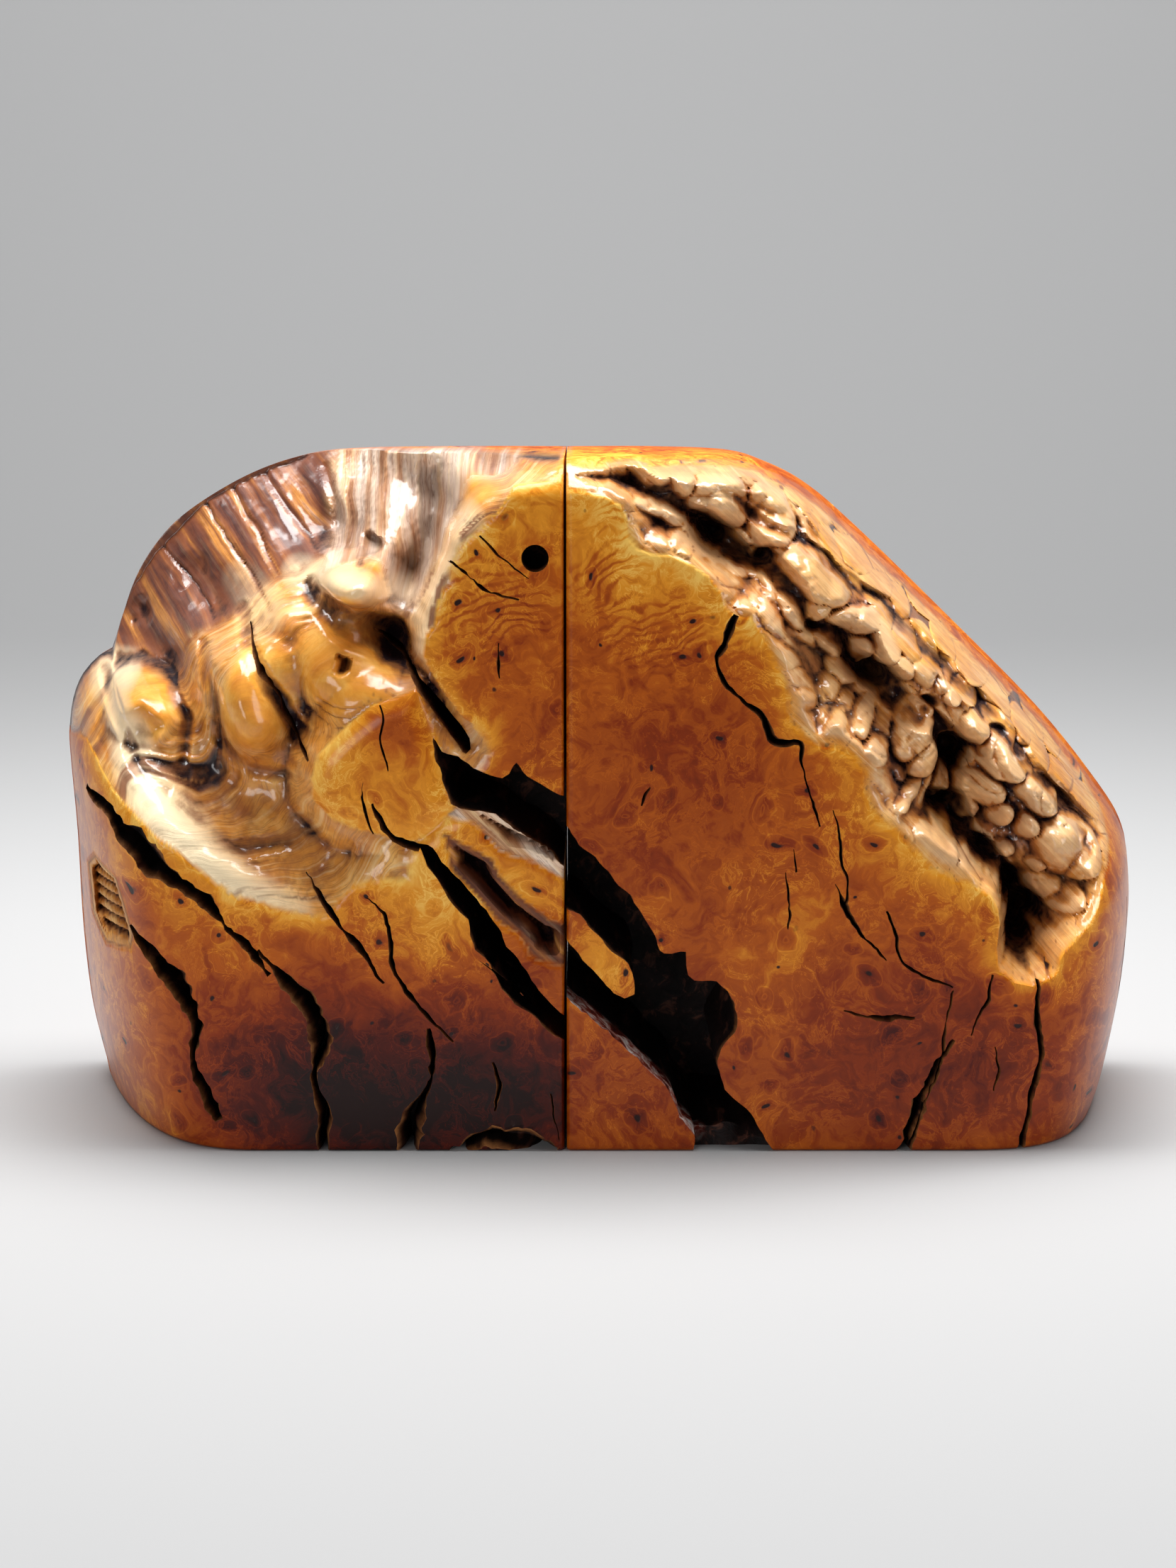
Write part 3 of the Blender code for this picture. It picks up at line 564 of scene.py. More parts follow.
LEFT_GUIDES = [
    (1, 150, 8), (8, 150, 16), (15.5, 149.5, 31), (24, 150, 38), (33, 150, 41), (42, 150, 52),
    (51, 149.5, 63), (63, 147, 69), (75, 143, 70), (88, 135, 70), (95, 128, 70),
    (101, 119, 69), (106, 107, 66),
    (52, 146, 58), (53, 138, 50), (53, 130, 42), (44, 146, 51), (44, 138, 41), (46, 131, 34),
    (35, 146, 42), (35, 138, 36), (36, 130, 30), (38, 124, 25), (27, 146, 39), (27, 138, 34),
    (28, 130, 28), (31, 122, 22), (21, 147, 24), (20, 141, 13), (24, 134, 12), (27, 126, 11),
    (31, 117, 13), (33, 110, 20), (31, 103, 12),
    (54.5, 122.5, 22), (50, 126, 19), (45, 127, 19), (39, 124, 19), (36, 116, 19),
    (93, 124, 64), (80, 136, 64), (68, 142, 64), (58, 145, 62),
    (90, 116, 52), (78, 124, 50), (68, 131, 50), (60, 135, 52),
    (88, 108, 40), (78, 113, 37), (70, 118, 33), (62, 122, 30), (57, 126, 34),
    (76.5, 110, 25), (69.5, 112, 21), (71, 100, 9), (66, 92, 8), (78.5, 98.5, 17),
    (72.5, 86, 14), (62, 82, 14),
    (61, 117, 19), (53, 115, 14), (48, 105, 9), (55, 100, 10), (61, 98.5, 14), (54.5, 91, 12),
    (45.5, 93, 7), (39, 104, 13), (37, 110, 22),
    (84, 104, 30), (85, 97, 25), (81, 90, 21), (76, 80, 17), (66, 73, 13), (57, 66, 9),
    (50, 61, 6), (44, 64, 4),
    (97, 105, 52), (89, 104, 42), (93, 98, 27), (101, 94, 32), (93, 90, 19), (87, 88, 18),
    (102, 86, 26), (95, 82, 14), (88, 80, 12), (98, 80, 16), (92, 75, 9), (85, 69, 5),
    (78, 63, 3), (69, 58, 2), (60, 55, 1), (113, 96, 60), (108, 92, 44),
]
# Soft swellings: (out, up, half length, half width, tilt, height).
LEFT_SWELLS = [
    (66, 99, 15, 10, -72, 6), (47, 105, 15, 13, 30, 5), (45, 124, 12, 6, 8, 6),
    (95, 95, 12, 9, 15, 6), (90, 79, 12, 6, 35, 3), (75, 62, 22, 5, 34, 2.5), (19, 143, 8, 7, 0, 4),
    (25, 131, 5, 9, 15, 4), (60, 115, 9, 6, 25, 2.5), (53.5, 124, 5, 4, 0, 3),
    (29, 118, 4, 7, 0, 2), (108, 95, 7, 9, 0, 3),
]
LEFT_HOLLOWS = [
    (47.5, 105.8, 2.0, 6), (48.5, 107, 1.2, 4), (93, 91, 5.5, 4), (43, 130, 3.0, 8),
    (44.5, 127.5, 2.4, 6), (86, 121, 6, 2.5), (99, 112, 4, 2.5),
]
# Grooves as runs of (out, up, half width, depth).
LEFT_GROOVES = [
    [(55, 121, 3, 4), (47, 115, 4.5, 8), (39, 111, 5, 10), (32, 104, 5, 10), (26, 98, 5, 10),
     (20, 90, 4, 8)],
    [(72, 116, 2, 2), (66.5, 106, 2.2, 3), (61.5, 98, 2.4, 3.5), (58, 90, 2.4, 3.5), (54, 84, 2, 2)],
    [(86, 138, 0.6, 1.2), (72, 124, 0.6, 1.6), (64, 116, 0.6, 0.8)],
    [(80, 143, 0.6, 1), (73, 133.5, 0.6, 1.5), (62, 121, 0.6, 0.6)],
    [(72, 145.5, 0.8, 1), (64, 136.5, 0.8, 1.5), (56, 128, 0.6, 0.8)],
    [(95, 127, 0.6, 1), (83, 117, 0.6, 1.2), (79, 113, 0.5, 0.6)],
    [(109, 101, 2, 3), (99, 92, 2.2, 3), (94, 84, 2, 2.5), (86, 78, 1.5, 1)],
    [(104, 101, 2, 2.5), (97, 103, 2, 3), (88, 100, 2, 3), (83.5, 92, 2, 2.5), (84, 84, 1.6, 2)],
    [(80, 108, 2, 2.5), (77, 98, 2.2, 3), (76, 88, 2, 2.5), (68, 82, 2, 2), (60, 82, 1.6, 1.5)],
    [(58, 92, 2, 2.5), (52, 89, 2.2, 3), (46, 92, 2.0, 2.5), (40, 96.5, 2, 2.5), (33, 103, 2, 2.5)],
    [(104, 79, 1.6, 2), (92, 71.5, 2, 2.5), (80, 66, 1.6, 2)],
    [(56, 146, 1.6, 1.5), (52, 138, 1.8, 2.5), (50, 130, 2.0, 3)],
    [(29, 146, 1.4, 1.2), (29, 136, 1.4, 1.4), (31, 127, 1.5, 2), (33, 118, 1.6, 2.5)],
]
left_relief = Relief(LEFT_GUIDES)


def sheet_zone(out, up):
    """1 on the streaked sheet that curves up to the left rim."""
    return step_up(left_relief(out, up), 28, 38) * step_up(out, 50, 56) * step_up(up, 98, 106)


def fibre_zone(out, up):
    """1 in the fibrous hollow under the top edge."""
    return step_up(left_relief(out, up), 16, 24) * (1 - step_up(out, 50, 56)) * step_up(up, 112, 120)


EYE = (47.5, 105.8)
EYE_RING_HEIGHT = 0.5


def eye_rings(out, up):
    """Growth rings below and to the right of the eye, from 0 to 1."""
    x, z = out - EYE[0], up - EYE[1]
    away = np.hypot(x, z) + 0.9 * noise(out, up, 6, 59)
    lower = step_up(1.5 - z - 0.8 * x, 0, 6)
    ringed = step_up(away, 6, 9) * (1 - step_up(away, 14, 17)) * lower
    return ringed * np.clip(np.sin(away * 3.1) * 2 - 1, 0, 1)


# Share of each axis in a course at 45 degrees.
SLANT = 0.7071
# How deep the grain is worn into the sheet, the fibrous hollow and the rest, in millimetres.
SHEET_RELIEF, FIBRE_RELIEF, WORN_RELIEF = 0.4, 1.5, 2.0
TIGHT_SHARE = 0.45
RING_DARKNESS = 0.8


def left_grain(out, up):
    """Weight, place across the fibres and place along them, for each zone of the left skin."""
    sheet, fibre = sheet_zone(out, up), fibre_zone(out, up)
    broad = left_relief(out, up) - swells(out, up, LEFT_SWELLS)
    bend = 2.4 * cloud(out, up, 16, 51)
    growth = 14 * np.log1p(np.maximum(broad, 0) / 10) + 1.4 * bend + (out + up) * 0.25
    return [
        (1 - sheet - fibre, growth, (out - up) * 0.5),
        (sheet, (out - up) * 0.62 + 0.5 * bend, (out + up) * SLANT),
        (fibre, out + 0.7 * bend, up),
    ]


def left_skin(out, up):
    """Depth of the left half's weathered skin, and how near a crease each place is."""
    swell = swells(out, up, LEFT_SWELLS)
    groove = grooves(
        out + 1.0 * cloud(out, up, 7, 57, 3), up + 1.0 * cloud(out, up, 7, 58, 3), LEFT_GROOVES
    )
    calm = step_up(swell, 1.0, 3.2)
    zones = left_grain(out, up)
    coarse = sum(w * ridges(across, along * 0.10, 4.6, 52, 3) for w, across, along in zones)
    tight = sum(w * ridges(across, along * 0.14, 1.7, 56, 2) for w, across, along in zones)
    worn = zones[0][0] * (1 - 0.9 * calm)
    strength = SHEET_RELIEF * zones[1][0] + FIBRE_RELIEF * zones[2][0] + WORN_RELIEF * worn
    rough = 0.35 * cloud(out, up, 3, 55, 3) * (1 - 0.75 * calm)
    shift = 0.9 * noise(out, up, 2.6, 53)
    hollow = pits(out + shift, up - shift, LEFT_HOLLOWS)
    deep = left_relief(out, up) - swell + hollow + 0.7 * groove + rough
    deep = deep + strength * (0.6 - coarse) + TIGHT_SHARE * strength * (0.6 - tight)
    near_crease = np.clip(strength, 0, 1) * np.clip(1 - coarse / 0.36, 0, 1)
    ringed = eye_rings(out, up)
    near_crease = np.maximum(near_crease, RING_DARKNESS * ringed)
    # Deep grooves join the creases, so the material darkens them, partly as painted shade.
    near_crease = np.maximum(near_crease, 0.6 * step_up(groove, 2.0, 5.0))
    return deep + EYE_RING_HEIGHT * ringed, near_crease


# %% [markdown]
# ## One front for each half
#
# The saw and the sander take off whatever stands proud of the block. So the front is the
# deeper of two surfaces, the sanded envelope and the natural skin, and the skin shows only
# inside its own outlines. Right at an outline the skin rolls over a few millimetres down
# to its full depth. Three patches on the left half are torn rather than grown, so they get
# a coarse grain or ribs instead, and an edge that is steeper.

# %% The front surface
EDGE_ROLL = 7.0
EDGE_STEP = 0.5
WART_ROLL = 1.6
BELOW_SANDED = 0.7
STEEPER = 2.5
DEEPEST_SKIN = 68.0
HEART_ROUND = 1.6
RIM_WIDTH = 1.4
CREVICE_DEPTH = 1.5
# Depth of the two torn hollows, and how far their splinters stand out of it.
RECESS_FLOOR, RECESS_SPLINTERS = 12, 3
SLOPE_FLOOR, SLOPE_SPLINTERS = 13, 4
FIN_FLOOR, FIN_HEIGHT = 5, 1.5
right_edge, left_edge, heart_edge = (
    smooth_run([*corners, corners[0]], step=3.0)[:-1] for corners in (RIGHT_SKIN, LEFT_SKIN, HEART)
)


def torn_patch(out, up):
    """Distance inside the nearest of the left half's three torn patches."""
    return np.maximum.reduce([inside_distance(out, up, p) for p in (RECESS, TORN_SLOPE, FINS)])


def uncut(out, up, side, patches=True):
    """How far inside the natural skin a place is, negative on sanded wood."""
    fray = 0.8 * cloud(out, up, 5, 77, 3)
    if side == RIGHT:
        rim = 0.5 + (RIM_WIDTH - 0.5) * step_up(out, 20, 60) + 0.8 * cloud(out, up, 6, 78, 3)
        from_rim = right_block.inward(out, up) - rim
        return np.minimum(inside_distance(out, up, right_edge) + fray, from_rim)
    skin = inside_distance(out, up, left_edge)
    skin = np.minimum(skin + fray, -inside_distance(out, up, heart_edge))
    return np.maximum(skin, STEEPER * torn_patch(out, up)) if patches else skin


def rim_crevice(out, up, sanded, clear):
    """1 in the broken dark crevice between the sanded rim and the flat scales."""
    run, _ = along_band(out, up)
    broken = step_up(noise(run, run * 0, 9, 49), -0.35, 0.1)
    return worn_rim(out, up, sanded) * broken * np.clip(1 - np.abs(clear - 0.9) / 0.8, 0, 1)


def shaped_front(out, up, side):
    """Depth of the finished front of a half, and how near a crease each place is."""
    block = left_block if side == LEFT else right_block
    sanded, clear = block.envelope(out, up), uncut(out, up, side)
    if side == LEFT:
        skin, near_crease = left_skin(out, up)
        heart = inside_distance(out, up, heart_edge)
        sanded = sanded + HEART_ROUND * np.clip(1 - np.abs(heart) / 5, 0, 1) ** 2
        recess = step_up(inside_distance(out, up, RECESS), 0, 4)
        torn = step_up(inside_distance(out, up, TORN_SLOPE), 0, 5)
        fins = step_up(inside_distance(out, up, FINS), 0, 2.5)
        grain = ridges((out - up) * 0.7, (out + up) * 0.08, 2.2, 61)
        skin = skin * (1 - recess) + recess * (RECESS_FLOOR - RECESS_SPLINTERS * grain)
        skin = skin * (1 - torn) + torn * (SLOPE_FLOOR - SLOPE_SPLINTERS * grain)
        ribs = np.sin(up * 2.5 + 0.25 * out + 0.5 * cloud(out, up, 6, 62))
        skin = skin * (1 - fins) + fins * (sanded + FIN_FLOOR - FIN_HEIGHT * ribs)
        torn_edge = np.clip(1 - np.abs(torn_patch(out, up) - 0.6) / 0.8, 0, 1)
        near_crease = np.maximum(near_crease, torn_edge)
        warts = 0.0
    else:
        skin, warts, near_crease = right_skin(out, up, sanded)
        crevice = rim_crevice(out, up, sanded, clear)
        # The crevice is cut deeper and also counts as a crease, which darkens it partly as painted
        # shade.
        skin, near_crease = skin + CREVICE_DEPTH * crevice, np.maximum(near_crease, crevice)
    natural = np.maximum(np.minimum(skin, DEEPEST_SKIN), sanded)
    rolled = sanded + np.clip(clear / EDGE_ROLL, 0, 1) * (natural - sanded)
    rolled = rolled + EDGE_STEP * np.clip(clear / 0.4, 0, 1) * (natural > sanded + 0.2)
    deep = rolled - warts * np.clip(clear / WART_ROLL, 0, 1)
    kept_below = soft_max(deep, sanded + BELOW_SANDED * step_up(clear, 0, 2), 0.8)
    return np.where(clear > 0, kept_below, sanded), near_crease


def front(out, up, side):
    """Depth of the finished front of a half."""
    return shaped_front(out, up, side)[0]


# %% [markdown]
# ## A sheet wrapped over the block
#
# A square grid, added as a primitive, is bent over each half: two of its sides follow the
# cut and the foot, and its other two share the outline. The mapping of a square on a
# quarter disc does that without a pole. The lines are packed towards the outline, where
# the skin and the rounding need them.

# %% Grid to front
CELLS = 274
INNER_SHARE = 0.4
INNER_REACH = 0.6


def packed(t):
    """Grid position with more lines near the outline."""
    inner = t / INNER_SHARE * INNER_REACH
    outer = INNER_REACH + (t - INNER_SHARE) / (1 - INNER_SHARE) * (1 - INNER_REACH)
    return np.where(t < INNER_SHARE, inner, outer)


def deselect():
    bpy.ops.object.select_all(action="DESELECT")


def points_of(obj):
    flat = np.empty(len(obj.data.vertices) * 3, np.float32)
    obj.data.vertices.foreach_get("co", flat)
    return flat.reshape(-1, 3).astype(float)


def set_points(obj, points):
    obj.data.vertices.foreach_set("co", np.asarray(points, np.float32).ravel())
    obj.data.update()


def wrapped_sheet(name, block):
    """The front of a half as a grid object, in model coordinates."""
    deselect()
    bpy.ops.mesh.primitive_grid_add(x_subdivisions=CELLS, y_subdivisions=CELLS, size=2)
    sheet = bpy.context.active_object
    sheet.name = sheet.data.name = name
    flat = points_of(sheet)
    across, along = packed((flat[:, 0] + 1) / 2), packed((flat[:, 1] + 1) / 2)
    x = across * np.sqrt(1 - along**2 / 2)
    z = along * np.sqrt(1 - across**2 / 2)
    distance = np.hypot(x, z) * block.reach(np.arctan2(z, x))
    angle = np.arctan2(z, x)
    out, up = distance * np.cos(angle), distance * np.sin(angle)
    deep = front(out, up, block.side)
    set_points(sheet, to_model(out, deep, up, block.side))
    print(f"{name}: {len(flat)} points, deepest front point {deep.max():.1f} mm")
    return sheet


# %% [markdown]
# ## Sides and back
#
# The rim of the sheet is extruded straight back, then stepped inwards to round the back
# edge, and closed with one face. The sides along the cut and the foot stay flat, because
# each step moves a point only towards the foot of the cut.

# %% Extrude the rim
BACK_ROUNDING = 9.0
BACK_STEPS = 6


def extruded_rim(obj, block):
    """Carries the sheet's rim to the back and closes it."""
    turns = [math.pi / 2 * k / BACK_STEPS for k in range(BACK_STEPS + 1)]
    rings = [
        (THICKNESS - BACK_ROUNDING * (1 - math.sin(t)), BACK_ROUNDING * (1 - math.cos(t)))
        for t in turns
    ]
    bpy.ops.object.mode_set(mode="EDIT")
    bpy.ops.mesh.select_mode(type="EDGE")
    bpy.ops.mesh.select_all(action="DESELECT")
    bpy.ops.mesh.select_non_manifold(extend=False)
    step_in = 0.0
    for deep, inward in rings:
        bpy.ops.mesh.extrude_edges_move()
        bpy.ops.object.mode_set(mode="OBJECT")
        chosen = np.zeros(len(obj.data.vertices), bool)
        obj.data.vertices.foreach_get("select", chosen)
        points = points_of(obj)
        was_deep = points[chosen, 1] / MM - FRONT_Y
        out = np.abs(points[chosen, 0] / MM - SEAM_X) - half_gap(was_deep)
        up = points[chosen, 2] / MM
        distance = np.maximum(np.hypot(out, up), 2 * BACK_ROUNDING)
        share = 1 - (inward - step_in) / distance
        step_in = inward
        points[chosen] = to_model(out * share, np.full(out.shape, deep), up * share, block.side)
        set_points(obj, points)
        bpy.ops.object.mode_set(mode="EDIT")
    bpy.ops.mesh.edge_face_add()
    bpy.ops.mesh.select_all(action="SELECT")
    bpy.ops.mesh.normals_make_consistent(inside=False)
    bpy.ops.object.mode_set(mode="OBJECT")


# %% [markdown]
# ## Voids and drying cracks
#
# Where bark grew in, the sawn burl is open: one great void runs across the cut and down
# to the foot, with slots and a ravine beside it. Drying cracks are narrow blades. Both
# are solids that a Boolean takes away, so their rims stay crisp however fine the sheet
# is. A rough wall comes from rings that wander a little with depth.

# %% Void outlines and crack runs
LEFT_VOIDS = {
    "upper_void": (42, [
        (-3, 78), (1, 79), (3.5, 80.5), (7.5, 83), (10, 86), (13, 82.5), (18, 84),
        (22.5, 87.5), (26, 88), (28, 91), (27.5, 87), (26, 82), (24.5, 78), (22.5, 76),
        (15, 74.5), (10.5, 71.5), (6.5, 68.5), (3, 66), (-3, 62),
    ]),
    "ravine": (44, [
        (42, 113), (38, 110.8), (34.6, 107.4), (31.5, 104), (28.5, 101),
        (24.5, 96.5), (20, 91), (20.5, 87.5), (24, 91), (28, 96.4), (31.4, 101.4), (34.6, 105.4),
        (38.6, 109.4), (41.4, 111.8),
    ]),
    "slanting_slot": (38, [
        (31.5, 68), (28, 67), (24.5, 62), (21.5, 59.5), (19.5, 57), (15, 51.5), (13, 47.5),
        (11, 44.5), (8, 40.5), (4.5, 35), (-1, 29), (-1, 27.5), (9.5, 35.5), (13.5, 38.5),
        (18, 44), (19, 45), (21, 51), (24, 55.5), (27.5, 60.5), (30, 64.5),
    ]),
    "lower_slot": (26, [
        (18.5, 43), (15.5, 40), (13.5, 38.5), (9.5, 35.5), (-1, 28), (-1, 24), (3.5, 27),
        (7, 30.5), (12.5, 35), (14.5, 38),
    ]),
}
RIGHT_VOIDS = {
    "great_void": (44, [
        (-3, 75), (4, 67.5), (9.5, 61), (14.5, 55.5), (18.5, 49), (21, 44), (25.5, 44.5),
        (26, 41), (28, 38.5), (32.5, 38), (35.5, 34.5), (36.5, 30.5), (36, 26.5), (33, 22),
        (33, 18), (35.5, 13), (40, 8.5), (43, 4), (46, -4), (28, -4), (28, 3.5), (24.5, 8),
        (23, 12.5), (19.5, 16.5), (14, 22), (5.5, 29.5), (-3, 38), (-3, 50), (4.5, 41.5),
        (10.5, 35.5), (12.5, 34.5), (14.5, 35), (13.5, 41), (11, 44), (6.5, 48.5),
        (2.5, 52.5), (-3, 58),
    ]),
}
# Half width and depth, then the run as (out, up, widening).
LEFT_CRACKS = {
    "shoulder_crevice": (2.6, 12, [
        (107, 76.5, 0.3), (100, 73.5, 0.8), (91, 65.5, 1.2), (84, 60.5, 1.1), (78, 56.5, 0.7),
        (74, 51, 0.5), (69, 46, 0.4), (63.5, 39.5, 0.35),
    ]),
    "middle_crack": (2.0, 12, [
        (66, 45, 0.2), (61, 39, 0.6), (57, 35, 0.9), (53.5, 29, 1.2), (53.2, 22, 1.1),
        (54.5, 15.5, 0.4), (52.5, 9, 0.8), (52.5, 3, 0.6), (53, -3, 0.5),
    ]),
    "side_crack": (1.9, 12, [
        (95.5, 48, 0.2), (88.5, 41.5, 1.0), (83, 35.5, 1.2), (80, 28, 1.2), (81, 21, 0.8),
        (78, 13, 0.9), (75, 7, 0.4),
    ]),
    "face_crack": (0.8, 9, [
        (56, 61, 0.3), (50, 53, 0.9), (46, 47.5, 1.0), (42.5, 43, 0.7), (39, 37.5, 0.3),
    ]),
    "short_crack": (0.6, 8, [
        (42.5, 56.5, 0.3), (39, 53, 1), (37.5, 46.5, 0.8), (37, 41.5, 1), (33.5, 35, 1),
        (24, 24.5, 0.3),
    ]),
    "foot_crack": (1.5, 12, [
        (29.5, 27.5, 0.3), (28.5, 22, 0.8), (29, 17, 0.9), (31, 11.5, 1), (33.5, 5, 1.8),
        (34, -3, 2.2),
    ]),
    "foot_hollow": (3.2, 9, [(24.5, -1, 0.6), (18, 2.5, 1), (9, 2, 1), (2, -1, 0.5)]),
    "lump_crack": (0.7, 12, [
        (69.5, 113.5, 0.3), (66, 106, 1), (61.5, 98, 1), (58, 90, 1), (55, 85.5, 0.4),
    ]),
    "heart_crack": (0.7, 8, [
        (41, 77, 0.3), (39, 73, 0.9), (37, 69.5, 1.3), (31, 67, 1.4),
    ]),
    "heart_line": (0.35, 5, [
        (39.5, 98, 0.6), (38.5, 95, 1), (39.3, 91, 0.8), (38.5, 87.5, 1), (37.5, 84, 0.4),
    ]),
    "heart_fork": (0.4, 5, [(43, 81.5, 0.4), (43, 77.5, 1), (42, 73, 1), (41, 70, 0.5)]),
    "strip_crack": (0.8, 8, [(24, 129, 0.8), (19, 125, 1), (16, 122.5, 0.6), (9.5, 120.5, 0.3)]),
    "strip_line": (0.35, 5, [
        (17.5, 134.5, 0.6), (14.5, 131, 1), (11.5, 128.5, 0.8), (7.5, 125, 0.3),
    ]),
    "strip_tick": (0.5, 5, [(13.5, 111.5, 0.4), (14, 107.5, 1), (13.5, 104, 0.4)]),
    "foot_tick": (0.6, 6, [(15.5, 20, 0.4), (14, 14.5, 1), (15, 9, 0.5)]),
    "seam_tick": (0.4, 5, [(3, 13, 0.5), (1, 2.5, 0.6)]),
}
RIGHT_CRACKS = {
    "island_crack": (0.8, 10, [
        (36, 117.5, 1), (33, 110.5, 1), (32, 107.5, 0.8), (34, 102.5, 1), (41, 96.5, 1),
        (45, 90.5, 1.1), (50, 90, 0.8), (50.5, 84, 0.6), (54.5, 72, 0.3),
    ]),
    "long_line": (0.35, 5, [
        (57, 75.5, 0.4), (58.5, 71, 1), (59, 64.5, 1), (60.5, 60, 0.7), (60, 54, 0.8),
    ]),
    "right_crack": (0.6, 8, [
        (58, 59.5, 0.3), (60, 54, 1), (63.5, 49, 1.1), (67, 45, 0.9), (69, 42.5, 0.3),
    ]),
    "right_fork": (0.7, 8, [
        (69, 53.5, 0.3), (71, 48.5, 0.8), (72, 44, 0.9), (74.5, 40.5, 1), (83.5, 36.5, 0.3),
    ]),
    "short_line": (0.45, 5, [(47, 62, 0.3), (48, 56, 1), (48, 52.5, 1), (47.5, 49.5, 0.4)]),
    "flat_slit": (0.75, 8, [(60, 31.5, 0.3), (67, 30, 1), (75.5, 30, 0.3)]),
    "foot_fork": (1.4, 10, [(84, 25, 0.3), (80, 18, 1), (76.5, 10, 1), (72.5, -3, 1.1)]),
    "fork_line": (0.5, 6, [
        (83.5, 36, 0.3), (82, 28, 0.8), (81.5, 20.5, 0.9), (78, 11, 0.8), (73.5, -3, 0.8),
    ]),
    "hollow_line": (0.4, 5, [(92, 39.5, 0.7), (91.5, 34, 1), (89.5, 31, 0.8), (87.5, 26, 0.5)]),
    "corner_crack": (0.8, 8, [
        (102, 38, 0.4), (102, 30, 1), (103.3, 22, 1), (101.5, 12, 1), (99, -3, 0.8),
    ]),
    "side_line": (0.45, 6, [
        (127.5, 49.5, 0.3), (127.5, 38, 1), (126, 25, 1), (124.5, 14, 1), (122.5, 7, 0.4),
    ]),
    "low_line": (0.35, 5, [(93, 23.5, 0.4), (94, 18.5, 1), (93, 13.5, 0.5)]),
    "tick_a": (0.45, 5, [(18, 80.5, 0.4), (17, 79, 1), (16, 76.5, 0.4)]),
    "tick_b": (0.4, 5, [(48.5, 67, 0.4), (49.5, 62, 0.8)]),
}
HOLE_PLACE = (6, 129.5)
HOLE_RADIUS = 2.9
HOLE_DEPTH = 14.0
IN_FRONT = -4.0
print(len(LEFT_VOIDS) + len(RIGHT_VOIDS), "voids,", len(LEFT_CRACKS) + len(RIGHT_CRACKS), "cracks")


# %% [markdown]
# Each cutter is a loft: closed rings of points, one behind the other, with a face on each
# end. Blender has no operator that lofts rings which differ in shape, so the faces are
# listed by a rule, and the normals are then made consistent by an operator. Behind the
# front, a low sill closes the foot of the great void, so that no floor shows through it.


# %% Cutters
def loft(name, rings):
    """A closed solid through rings of the same number of points, in model metres."""
    count = len(rings[0])
    faces = [list(range(count)), [count * (len(rings) - 1) + k for k in range(count)]]
    for r in range(len(rings) - 1):
        for k in range(count):
            a, b = r * count + k, r * count + (k + 1) % count
            faces.append([a, b, b + count, a + count])
    mesh = bpy.data.meshes.new(name)
    mesh.from_pydata(np.concatenate(rings).tolist(), [], faces)
    made = bpy.data.objects.new(name, mesh)
    bpy.context.scene.collection.objects.link(made)
    deselect()
    made.select_set(True)
    bpy.context.view_layer.objects.active = made
    bpy.ops.object.mode_set(mode="EDIT")
    bpy.ops.mesh.select_all(action="SELECT")
    bpy.ops.mesh.normals_make_consistent(inside=False)
    bpy.ops.object.mode_set(mode="OBJECT")
    return made


FOOT_SILL = 3.5
FOOT_SILL_FROM = 5.0
VOID_STEPS = (IN_FRONT, 0.8, 3, 7, 12, 19, 28)
CLOSING = 0.07
# The rings of a crack: share of its depth, and share of its width.
CRACK_PROFILE = ((None, 1.05), (0.0, 1.0), (0.12, 0.72), (0.4, 0.42), (1.0, 0.15))


def void_cutter(name, block, floor, corners, seed):
    """A void whose walls wander and close in a little with depth."""
    outline = smooth_run([*corners, corners[0]], step=1.3)[:-1]
    middle = outline.mean(axis=0)
    rings = []
    for k, deep in enumerate((*VOID_STEPS, floor)):
        inset = 0.0 if k < 2 else min(1.0, deep / floor)
        wander, size, turn = (0.8, 3, 0) if k < 2 else (0.35 + 1.1 * inset, 5, 7 * k)
        x = outline[:, 0] + wander * cloud(outline[:, 0], outline[:, 1] + turn, size, seed, 3)
        z = outline[:, 1] + wander * cloud(outline[:, 1], outline[:, 0] + turn, size, seed + 9, 3)
        sill = FOOT_SILL + 1.5 * cloud(x, x * 0 + 7 * k, 5, seed + 4, 3)
        z = np.where(deep > FOOT_SILL_FROM, np.maximum(z, sill), z)
        x = x + (middle[0] - x) * CLOSING * inset
        z = z + (middle[1] - z) * CLOSING * inset
        rings.append(to_model(x, np.full(x.shape, deep), z, block.side))
    return loft(name, rings)


def crack_cutter(name, block, width, depth, run, seed):
    """A crack with a ragged course, wide at the front and thin at its floor."""
    course = smooth_run(run, step=0.8)
    out, up, widening = course[:, 0], course[:, 1], course[:, 2]
    ahead = np.gradient(course[:, :2], axis=0)
    ahead /= np.linalg.norm(ahead, axis=1)[:, None]
    across = np.stack([ahead[:, 1], -ahead[:, 0]], axis=1)
    level = front(out, up, block.side)
    sway = 0.25 * width + 0.3
    shift = sway * cloud(out, up, 4, seed, 3) + 0.16 * noise(out, up, 1.1, seed + 3)
    vary = 0.9 * cloud(up, out, 5, seed + 5, 3) + 0.3 * noise(up, out, 1.4, seed + 6)
    half = 0.85 * width * np.maximum(widening * (1 + vary), 0.12)
    right, left = [], []
    for share, narrow in CRACK_PROFILE:
        deep = np.full(out.shape, IN_FRONT) if share is None else level + depth * share
        drift = shift if share is None else shift + 1.2 * share * cloud(out, up, 6, seed + 7)
        right.append((deep, across * (drift + half * narrow)[:, None]))
        left.insert(0, (deep, across * (drift - half * narrow)[:, None]))
    rings = []
    for k in range(len(course)):
        ring = [(out[k] + m[k, 0], deep[k], up[k] + m[k, 1]) for deep, m in right + left]
        rings.append(to_model(*np.array(ring).T, block.side))
    return loft(name, rings)


